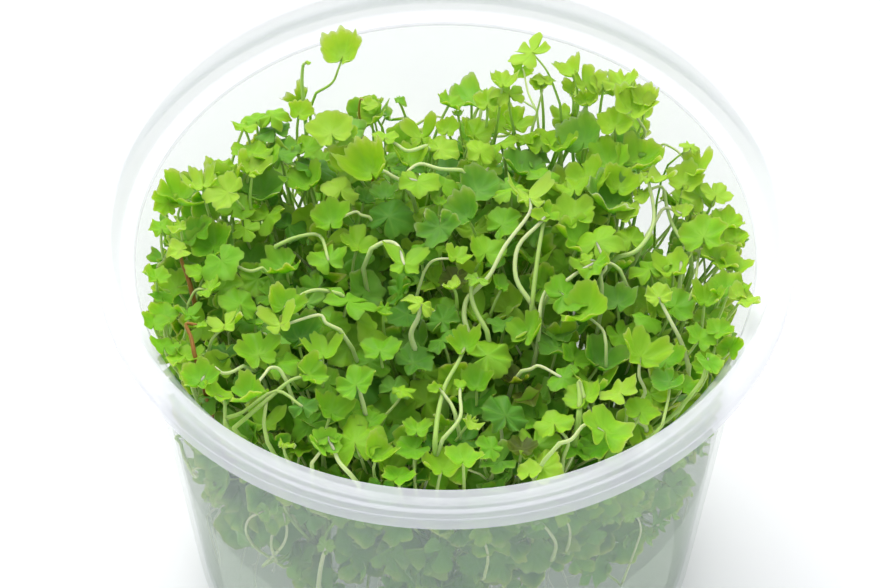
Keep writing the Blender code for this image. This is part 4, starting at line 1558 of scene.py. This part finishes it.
class NodeGroup:
    """A shader node group with named sockets, built once and reused."""

    def __init__(self, name: str, inputs: dict[str, float | tuple], outputs: tuple[str, ...]) -> None:
        """Make the group's sockets.

        Args:
            name: Name of the group.
            inputs: Input names with their default values; a tuple makes a colour.
            outputs: Names of the colour outputs.
        """
        self.tree = bpy.data.node_groups.new(name, "ShaderNodeTree")
        for key, value in inputs.items():
            kind = "NodeSocketColor" if isinstance(value, tuple) else "NodeSocketFloat"
            socket = self.tree.interface.new_socket(name=key, in_out="INPUT", socket_type=kind)
            socket.default_value = value
        for key in outputs:
            self.tree.interface.new_socket(name=key, in_out="OUTPUT", socket_type="NodeSocketColor")
        self.inputs = self.tree.nodes.new("NodeGroupInput")
        self.outputs = self.tree.nodes.new("NodeGroupOutput")

    def node(self, kind: str, **settings: object) -> bpy.types.Node:
        """Add a node.

        Args:
            kind: Node type.
            **settings: Properties to set.

        Returns:
            The node.
        """
        node = self.tree.nodes.new(kind)
        for key, value in settings.items():
            setattr(node, key, value)
        return node

    def link(self, source: bpy.types.NodeSocket, target: bpy.types.NodeSocket) -> None:
        """Join two sockets."""
        self.tree.links.new(source, target)

    def mix(self, factor: bpy.types.NodeSocket, first: object, second: object) -> bpy.types.NodeSocket:
        """Mix two colours.

        Args:
            factor: Share of the second colour.
            first: Socket or colour.
            second: Socket or colour.

        Returns:
            The mixed colour.
        """
        node = self.node("ShaderNodeMix", data_type="RGBA")
        self.link(factor, node.inputs["Factor"])
        for key, value in (("A", first), ("B", second)):
            socket = next(s for s in node.inputs if s.name == key and s.type == "RGBA")
            if isinstance(value, tuple):
                socket.default_value = value
            else:
                self.link(value, socket)
        return next(s for s in node.outputs if s.type == "RGBA")

    def math(self, operation: str, first: object, second: object = 0.0) -> bpy.types.NodeSocket:
        """Add a clamped sum, product or other operation.

        Args:
            operation: Name of the operation.
            first: Socket or number.
            second: Socket or number.

        Returns:
            The result.
        """
        node = self.node("ShaderNodeMath", operation=operation, use_clamp=True)
        for socket, value in zip(node.inputs, (first, second)):
            if isinstance(value, (int, float)):
                socket.default_value = value
            else:
                self.link(value, socket)
        return node.outputs[0]

    def ramp(self, factor: bpy.types.NodeSocket, stops: tuple[tuple, ...]) -> bpy.types.NodeSocket:
        """Turn a value into a colour.

        Args:
            factor: The value.
            stops: Positions with their colours, in order.

        Returns:
            The colour.
        """
        node = self.node("ShaderNodeValToRGB")
        elements = node.color_ramp.elements
        elements[0].position, elements[0].color = stops[0]
        elements[1].position, elements[1].color = stops[-1]
        for position, colour in stops[1:-1]:
            elements.new(position).color = colour
        self.link(factor, node.inputs["Fac"])
        return node.outputs["Color"]

    def noise(self, scale: float, detail: float = 2.0) -> bpy.types.NodeSocket:
        """Add noise over the object's own coordinates.

        Args:
            scale: Its scale.
            detail: Its detail.

        Returns:
            The noise value.
        """
        coordinates = self.node("ShaderNodeTexCoord")
        noise = self.node("ShaderNodeTexNoise")
        noise.inputs["Scale"].default_value = scale
        noise.inputs["Detail"].default_value = detail
        self.link(coordinates.outputs["Object"], noise.inputs["Vector"])
        return noise.outputs["Fac"]


@dataclass(frozen=True)
class FoliageFinish:
    """Colours and softness of the plantlets."""

    shadow: tuple = (0.045, 0.185, 0.008, 1)
    deep: tuple = (0.095, 0.300, 0.012, 1)
    middle: tuple = (0.160, 0.410, 0.014, 1)
    bright: tuple = (0.270, 0.520, 0.020, 1)
    light: tuple = (0.420, 0.625, 0.080, 1)
    cool_dark: tuple = (0.034, 0.135, 0.008, 1)
    cool_light: tuple = (0.175, 0.420, 0.050, 1)
    withered: tuple = (0.085, 0.095, 0.010, 1)
    petiole_green: tuple = (0.250, 0.460, 0.030, 1)
    petiole_pale: tuple = (0.700, 0.790, 0.430, 1)
    petiole_warm: tuple = (0.300, 0.140, 0.030, 1)
    roughness: float = 0.48
    specular: float = 0.18
    subsurface: float = 0.55
    scatter: tuple[float, float, float] = (0.7, 1.0, 0.25)
    scatter_scale: float = 1.3 * MM
    mottle_scale: float = 300.0
    mottle_detail: float = 3.0
    mottle: float = 0.26
    stops: tuple[float, float, float, float, float] = (0.02, 0.28, 0.54, 0.8, 1.0)
    cool_stops: tuple[float, float] = (0.02, 0.6)
    vein_power: float = 2.0
    vein: float = 0.08
    edge_power: float = 6.0
    edge: float = 0.06
    streak_scale: float = 700.0
    streak: float = 0.2
    # Petioles turn paler towards the leaf end: partly their own colour, partly a painted highlight near the
    # top.
    upper: float = 0.8
    lower: float = 0.3


@dataclass(frozen=True)
class SurfaceFinish:
    """Two colours that soft noise mixes, and the noise's scale."""

    clear: tuple
    cloudy: tuple
    roughness: float
    cloud_scale: float


@dataclass(frozen=True)
class MilkyFinish(SurfaceFinish):
    """A finish that what is behind it shows through; the opacity is that of one surface."""

    opacity: float
    ior: float


@dataclass(frozen=True)
class VesselFinish:
    """The cup's milky plastic, denser at its thicker lip, with grey lines of painted shade at its steps'
    edges, and the gel.
    """

    wall: MilkyFinish = MilkyFinish((0.73, 0.84, 0.79, 1), (0.68, 0.80, 0.74, 1), 0.22, 26.0, 0.185, 1.49)
    lip: MilkyFinish = MilkyFinish((0.95, 0.96, 1.0, 1), (0.93, 0.945, 0.99, 1), 0.75, 26.0, 0.34, 1.35)
    # Grey plastic at the steps' edges: painted shade, the dark line the plastic shows where it refracts light
    # there.
    step: MilkyFinish = MilkyFinish((0.64, 0.66, 0.70, 1), (0.68, 0.70, 0.74, 1), 0.75, 26.0, 0.34, 1.35)
    gel: MilkyFinish = MilkyFinish((0.60, 0.75, 0.49, 1), (0.54, 0.69, 0.43, 1), 0.06, 40.0, 0.32, 1.34)


ROOT_FINISH = SurfaceFinish((0.90, 0.89, 0.78, 1), (0.90, 0.89, 0.78, 1), 0.5, 60.0)
FLOOR_FINISH = SurfaceFinish((0.92, 0.92, 0.93, 1), (0.90, 0.90, 0.92, 1), 0.6, 3.0)


class Finishes:
    """Builds the materials."""

    def __init__(self, foliage: FoliageFinish, vessel: VesselFinish) -> None:
        """Build every material once.

        Args:
            foliage: The plantlets' finish.
            vessel: The finishes of the cup and the gel.
        """
        self.foliage = foliage
        self.leaf = self._organic("pennywort_leaf", self._leaf_group())
        self.petiole = self._organic("pennywort_petiole", self._petiole_group())
        self.root = self._plain("pennywort_root", ROOT_FINISH)
        self.plastic = [
            self._milky("cup_wall_plastic", vessel.wall),
            self._milky("cup_lip_plastic", vessel.lip),
            self._milky("cup_shade_line_plastic", vessel.step),
        ]
        self.gel = self._milky("culture_gel", vessel.gel)
        self.floor = self._plain("studio_floor", FLOOR_FINISH)

    def _leaf_group(self) -> NodeGroup:
        """Build the group that colours a blade.

        Returns:
            The group; it takes tone, vein, edge and how bluish or withered the leaf is.
        """
        finish = self.foliage
        group = NodeGroup("LeafColour", {"Tone": 0.5, "Vein": 0.0, "Edge": 0.0, "Cool": 0.0}, ("Color",))
        inputs = group.inputs.outputs
        mottle = group.math("MULTIPLY", group.noise(finish.mottle_scale, finish.mottle_detail), finish.mottle)
        tone = group.math("SUBTRACT", group.math("ADD", inputs["Tone"], mottle), finish.mottle / 2)
        colours = finish.shadow, finish.deep, finish.middle, finish.bright, finish.light
        colour = group.ramp(tone, tuple(zip(finish.stops, colours)))
        cool = group.ramp(tone, tuple(zip(finish.cool_stops, (finish.cool_dark, finish.cool_light))))
        colour = group.mix(inputs["Cool"], colour, cool)
        colour = group.mix(group.math("SUBTRACT", inputs["Cool"], 1.0), colour, finish.withered)
        vein = group.math("MULTIPLY", group.math("POWER", inputs["Vein"], finish.vein_power), finish.vein)
        colour = group.mix(vein, colour, finish.light)
        edge = group.math("MULTIPLY", group.math("POWER", inputs["Edge"], finish.edge_power), finish.edge)
        colour = group.mix(edge, colour, finish.bright)
        group.link(colour, group.outputs.inputs["Color"])
        return group

    def _petiole_group(self) -> NodeGroup:
        """Build the group that colours a petiole.

        Returns:
            The group; it takes tone, paleness, warmth and the share of its length.
        """
        finish = self.foliage
        group = NodeGroup("PetioleColour", {"Tone": 0.5, "Pale": 0.3, "Warm": 0.0, "Along": 0.5}, ("Color",))
        inputs = group.inputs.outputs
        streak = group.math("MULTIPLY", group.noise(finish.streak_scale), finish.streak)
        upper = group.math("ADD", group.math("MULTIPLY", inputs["Along"], finish.upper), finish.lower)
        pale = group.math("SUBTRACT", group.math("ADD", inputs["Pale"], streak), finish.streak / 2)
        # Paler towards the leaf end: partly the petiole's own colour, partly a painted highlight.
        pale = group.math("MULTIPLY", pale, upper)
        colour = group.mix(pale, finish.petiole_green, finish.petiole_pale)
        colour = group.mix(inputs["Warm"], colour, finish.petiole_warm)
        group.link(colour, group.outputs.inputs["Color"])
        return group

    def _organic(self, name: str, group: NodeGroup) -> bpy.types.Material:
        """Build a leaf or petiole material.

        Args:
            name: Name of the material.
            group: Group that colours it from the look attribute.

        Returns:
            The material.
        """
        material, shader, nodes, links = self._new(name)
        look = nodes.new("ShaderNodeAttribute")
        look.attribute_name = "look"
        parts = nodes.new("ShaderNodeSeparateColor")
        links.new(look.outputs["Color"], parts.inputs["Color"])
        colour = nodes.new("ShaderNodeGroup")
        colour.node_tree = group.tree
        for i in range(3):
            links.new(parts.outputs[i], colour.inputs[i])
        links.new(look.outputs["Alpha"], colour.inputs[3])
        links.new(colour.outputs["Color"], shader.inputs["Base Color"])
        finish = self.foliage
        self._fill(shader, Roughness=finish.roughness)
        shader.inputs["Specular IOR Level"].default_value = finish.specular
        shader.inputs["Subsurface Weight"].default_value = finish.subsurface
        shader.inputs["Subsurface Radius"].default_value = finish.scatter
        shader.inputs["Subsurface Scale"].default_value = finish.scatter_scale
        return material

    def _plain(self, name: str, finish: SurfaceFinish) -> bpy.types.Material:
        """Build a material with a faint cloudiness.

        Args:
            name: Name of the material.
            finish: Its values.

        Returns:
            The material.
        """
        material, shader, nodes, links = self._new(name)
        tree = bpy.data.node_groups.get("Cloudiness") or self._cloud_group().tree
        cloud = nodes.new("ShaderNodeGroup")
        cloud.node_tree = tree
        self._fill(cloud, First=finish.clear, Second=finish.cloudy, Scale=finish.cloud_scale)
        links.new(cloud.outputs["Color"], shader.inputs["Base Color"])
        self._fill(shader, Roughness=finish.roughness)
        return material

    def _milky(self, name: str, finish: MilkyFinish) -> bpy.types.Material:
        """Build a cloudy material that what is behind it shows through.

        Args:
            name: Name of the material.
            finish: Its values.

        Returns:
            The material.
        """
        material = self._plain(name, finish)
        self._fill(material.node_tree.nodes["Principled BSDF"], Alpha=finish.opacity, IOR=finish.ior)
        return material

    @staticmethod
    def _fill(node: bpy.types.Node, **values: float | tuple) -> None:
        """Set inputs of a node by their names."""
        for key, value in values.items():
            node.inputs[key].default_value = value

    @staticmethod
    def _new(name: str) -> tuple:
        """Start a material.

        Args:
            name: Name of the material.

        Returns:
            The material, its Principled shader, its nodes and its links.
        """
        material = bpy.data.materials.new(name)
        material.use_nodes = True
        tree = material.node_tree
        return material, tree.nodes["Principled BSDF"], tree.nodes, tree.links

    @staticmethod
    def _cloud_group() -> NodeGroup:
        """Build the group that mixes two colours by soft noise.

        Returns:
            The group; it takes the two colours and the noise's scale.
        """
        white = (1.0, 1.0, 1.0, 1.0)
        group = NodeGroup("Cloudiness", {"First": white, "Second": white, "Scale": 10.0}, ("Color",))
        inputs, noise = group.inputs.outputs, group.noise(10.0)
        group.link(inputs["Scale"], noise.node.inputs["Scale"])
        group.link(group.mix(noise, inputs["First"], inputs["Second"]), group.outputs.inputs["Color"])
        return group


@dataclass(frozen=True)
class Corner:
    """One corner of a turned section, with a flag for an edge that gets a grey line of painted shade."""

    radius: float
    height: float
    rounding: float = 0.0
    step: bool = False


class Vessel:
    """Builds the cup and the gel as finely turned pieces."""

    def __init__(self, size: CupSize) -> None:
        """Keep the sizes."""
        self.size = size

    @staticmethod
    def rounded(corners: list[Corner], steps: int = 4) -> list[Corner]:
        """Round the corners of a section.

        Args:
            corners: Its corners.
            steps: Stretches in each rounding.

        Returns:
            Points of the section, marked as their corners are.
        """
        points = [corners[0]]
        for last, corner, following in zip(corners, corners[1:], corners[2:]):
            here = Vector((corner.radius, corner.height))
            before = Vector((last.radius, last.height)) - here
            after = Vector((following.radius, following.height)) - here
            reach = min(corner.rounding, *(side.length * CUP.rounding_share for side in (before, after)))
            ends = here + before.normalized() * reach, here, here + after.normalized() * reach
            points += [Corner(*point, 0.0, corner.step) for point in bezier(list(ends), steps)]
        return [*points, corners[-1]]

    def cup_section(self) -> list[Corner]:
        """Draw the cup's section.

        Returns:
            Points from the inner floor's middle over the lip to the underside's middle.
        """
        s = self.size
        lip_foot, collar_foot = s.height - s.lip_depth, s.height - s.collar_depth
        skirt, skirt_foot = s.lip_radius - s.skirt_inset, s.height - s.skirt_depth
        collar = s.mouth_radius - s.collar_draft
        base = s.ledge_radius - s.ledge_height * s.taper
        foot, small = s.base_rounding, s.rounding
        top_edge, low_edge, skirt_edge = s.lip_edges
        return self.rounded(
            [
                Corner(0.0, s.floor),
                Corner(s.inner_radius(s.floor), s.floor, foot),
                Corner(s.inner_radius(s.ledge_height), s.ledge_height, small, True),
                Corner(collar, collar_foot, s.collar_rounding),
                Corner(s.mouth_radius, s.height, s.lip_rounding),
                Corner(s.lip_radius, s.height, top_edge),
                Corner(s.lip_radius, lip_foot, low_edge, True),
                Corner(skirt, lip_foot, skirt_edge, True),
                Corner(skirt, skirt_foot, small),
                Corner(skirt - s.wall, skirt_foot, small),
                Corner(skirt - s.wall, lip_foot, small),
                Corner(s.mouth_radius + s.wall, lip_foot, small),
                Corner(collar + s.wall, collar_foot - s.wall, small),
                Corner(s.ledge_radius, s.ledge_height - s.wall, small),
                Corner(base, 0.0, foot),
                Corner(0.0, 0.0),
            ]
        )

    def gel_section(self) -> list[Corner]:
        """Draw the gel's section.

        Returns:
            Points from the top's middle to the underside's middle.
        """
        s = self.size
        edge_height = s.gel_top + s.meniscus
        edge = s.inner_radius(edge_height) - s.gap
        low = s.floor + s.gap
        rise = edge - s.meniscus_width * s.meniscus_start
        return self.rounded(
            [
                Corner(0.0, s.gel_top),
                Corner(rise, s.gel_top, s.meniscus_width * s.meniscus_bend),
                Corner(edge, edge_height, s.meniscus_rounding),
                Corner(s.inner_radius(low) - s.gap, low, s.gel_rounding),
                Corner(0.0, low),
            ]
        )

    def turned(
        self,
        name: str,
        section: list[Corner],
        materials: list[bpy.types.Material],
    ) -> bpy.types.Object:
        """Turn a section about the upright axis.

        Args:
            name: Name of the piece.
            section: Points of the section; the first and last lie on the axis.
            materials: One material, or those of the wall, the lip and the painted shade lines at the steps'
                edges.

        Returns:
            The new piece.
        """
        segments, inner = self.size.segments, section[1:-1]
        places = [(0.0, 0.0, section[0].height)]
        for point in inner:
            for k in range(segments):
                turn = math.tau * k / segments
                places.append((point.radius * math.cos(turn), point.radius * math.sin(turn), point.height))
        places.append((0.0, 0.0, section[-1].height))
        faces: list[tuple[int, ...]] = []
        slots: list[int] = []
        last, end = 1 + (len(inner) - 1) * segments, len(places) - 1
        for k in range(segments):
            j = (k + 1) % segments
            faces += [(0, 1 + k, 1 + j), (last + j, last + k, end)]
            slots += [0, 0]
            for i, (first, second) in enumerate(zip(inner, inner[1:])):
                a, b = 1 + i * segments, 1 + (i + 1) * segments
                faces.append((a + k, b + k, b + j, a + j))
                slots.append(self.zone(first, second) if len(materials) > 1 else 0)
        mesh = bpy.data.meshes.new(name)
        mesh.from_pydata(places, [], faces)
        for material in materials:
            mesh.materials.append(material)
        mesh.polygons.foreach_set("material_index", slots)
        mesh.shade_smooth()
        mesh.set_sharp_from_angle(angle=self.size.smooth_angle)
        piece = bpy.data.objects.new(name, mesh)
        bpy.context.scene.collection.objects.link(piece)
        return piece

    def zone(self, first: Corner, second: Corner) -> int:
        """Find which material lies between two points of the section.

        Args:
            first: One point.
            second: The next point.

        Returns:
            0 for the wall, 1 for the lip and 2 for the painted shade line at a step's edge.
        """
        # Faces between two flagged corners get the grey plastic of the painted shade line.
        if first.step and second.step:
            return 2
        lip_start = self.size.ledge_height - self.size.wall - self.size.zone_margin
        return int(min(first.height, second.height) > lip_start)

    def build(self, finishes: Finishes) -> None:
        """Build the cup and the gel.

        Args:
            finishes: The materials.
        """
        cup = self.turned("cup_body", self.cup_section(), finishes.plastic)
        gel = self.turned("gel_body", self.gel_section(), [finishes.gel])
        for piece, node, slot in ((cup, "cup", "cup_plastic"), (gel, "culture_gel", "gel")):
            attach(piece, "root")
            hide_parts(node)
            LOG.info("built %s", piece.name)


@dataclass(frozen=True)
class StudioSize:
    """The studio's floor and lights."""

    floor_radius: float = 2.2
    floor_sides: int = 96
    world_front: tuple = (0.52, 0.53, 0.57, 1)
    world_side: tuple = (0.96, 0.96, 0.98, 1)
    world_back: tuple = (1.06, 1.06, 1.06, 1)
    world_strength: float = 1.0
    key_power: float = 9.0
    key_size: float = 0.9
    key_place: tuple[float, float, float] = (-0.2, 0.6, 1.0)
    key_aim: tuple[float, float, float] = (0.0, 0.0, 0.05)


class Studio:
    """Builds the floor, lights and camera."""

    def __init__(self, size: StudioSize) -> None:
        """Keep the sizes."""
        self.size = size

    def build(self, material: bpy.types.Material) -> None:
        """Build everything that isn't part of the object.

        Args:
            material: The floor's material.
        """
        size, sides = self.size, range(self.size.floor_sides)
        turns, far = [math.tau * k / len(sides) for k in sides], size.floor_radius
        rim = [(math.cos(turn) * far, math.sin(turn) * far, 0.0) for turn in turns]
        mesh = bpy.data.meshes.new("studio_floor")
        mesh.from_pydata(rim, [], [tuple(sides)])
        mesh.materials.append(material)
        floor = bpy.data.objects.new("studio_floor", mesh)
        bpy.context.scene.collection.objects.link(floor)
        bpy.context.scene.world = self._world()
        self._light()
        self._camera()
        bpy.context.scene.view_settings.view_transform = "Standard"

    def _world(self) -> bpy.types.World:
        """Build the soft surroundings, brighter behind the cup than in front of it.

        Returns:
            The world.
        """
        world = bpy.data.worlds.new("studio_world")
        world.use_nodes = True
        nodes, links = world.node_tree.nodes, world.node_tree.links
        background = nodes["Background"]
        background.inputs["Strength"].default_value = self.size.world_strength
        direction, parts = nodes.new("ShaderNodeTexCoord"), nodes.new("ShaderNodeSeparateXYZ")
        links.new(direction.outputs["Generated"], parts.inputs[0])
        spread, ramp = nodes.new("ShaderNodeMapRange"), nodes.new("ShaderNodeValToRGB")
        spread.inputs["From Min"].default_value = -1.0
        links.new(parts.outputs["Y"], spread.inputs["Value"])
        ramp.color_ramp.elements[0].color = self.size.world_front
        ramp.color_ramp.elements[1].color = self.size.world_back
        ramp.color_ramp.elements.new(0.5).color = self.size.world_side
        links.new(spread.outputs["Result"], ramp.inputs["Fac"])
        links.new(ramp.outputs["Color"], background.inputs["Color"])
        return world

    def _light(self) -> None:
        """Add the soft square key light, which looks at the cup."""
        size = self.size
        light = bpy.data.lights.new("key_light", "AREA")
        light.size = size.key_size
        light.energy = size.key_power
        lamp = bpy.data.objects.new("key_light", light)
        lamp.location = size.key_place
        look = Vector(size.key_aim) - Vector(size.key_place)
        lamp.rotation_euler = look.to_track_quat("-Z", "Y").to_euler()
        bpy.context.scene.collection.objects.link(lamp)

    @staticmethod
    def _camera() -> None:
        """Add the photograph's camera."""
        data = bpy.data.cameras.new("photo_camera")
        data.sensor_width = VIEW.sensor
        data.lens = VIEW.focal * VIEW.sensor / VIEW.width
        data.clip_start = VIEW.clip_start
        camera = bpy.data.objects.new("photo_camera", data)
        camera.location = VIEW.eye
        camera.rotation_euler = (math.pi / 2 - VIEW.elevation, 0.0, 0.0)
        bpy.context.scene.collection.objects.link(camera)
        bpy.context.scene.camera = camera


def main() -> None:
    """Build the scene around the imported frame."""
    logging.basicConfig(level=logging.INFO, format="%(name)s: %(message)s")
    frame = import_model()
    finishes = Finishes(FoliageFinish(), VesselFinish())
    nodes = [node for name, node in sorted(frame["nodes"].items()) if name.startswith("plantlet_")]
    foliage = Foliage(nodes, FillShape())
    foliage.place_photo_leaves()
    foliage.place_cad_leaves()
    foliage.place_photo_stems()
    foliage.place_photo_wall_stems()
    foliage.place_fill()
    foliage.place_wall_leaves()
    foliage.place_wall_loops()
    foliage.build([finishes.leaf, finishes.petiole, finishes.root])
    Vessel(CUP).build(finishes)
    Studio(StudioSize()).build(finishes.floor)


if __name__ == "__main__":
    main()
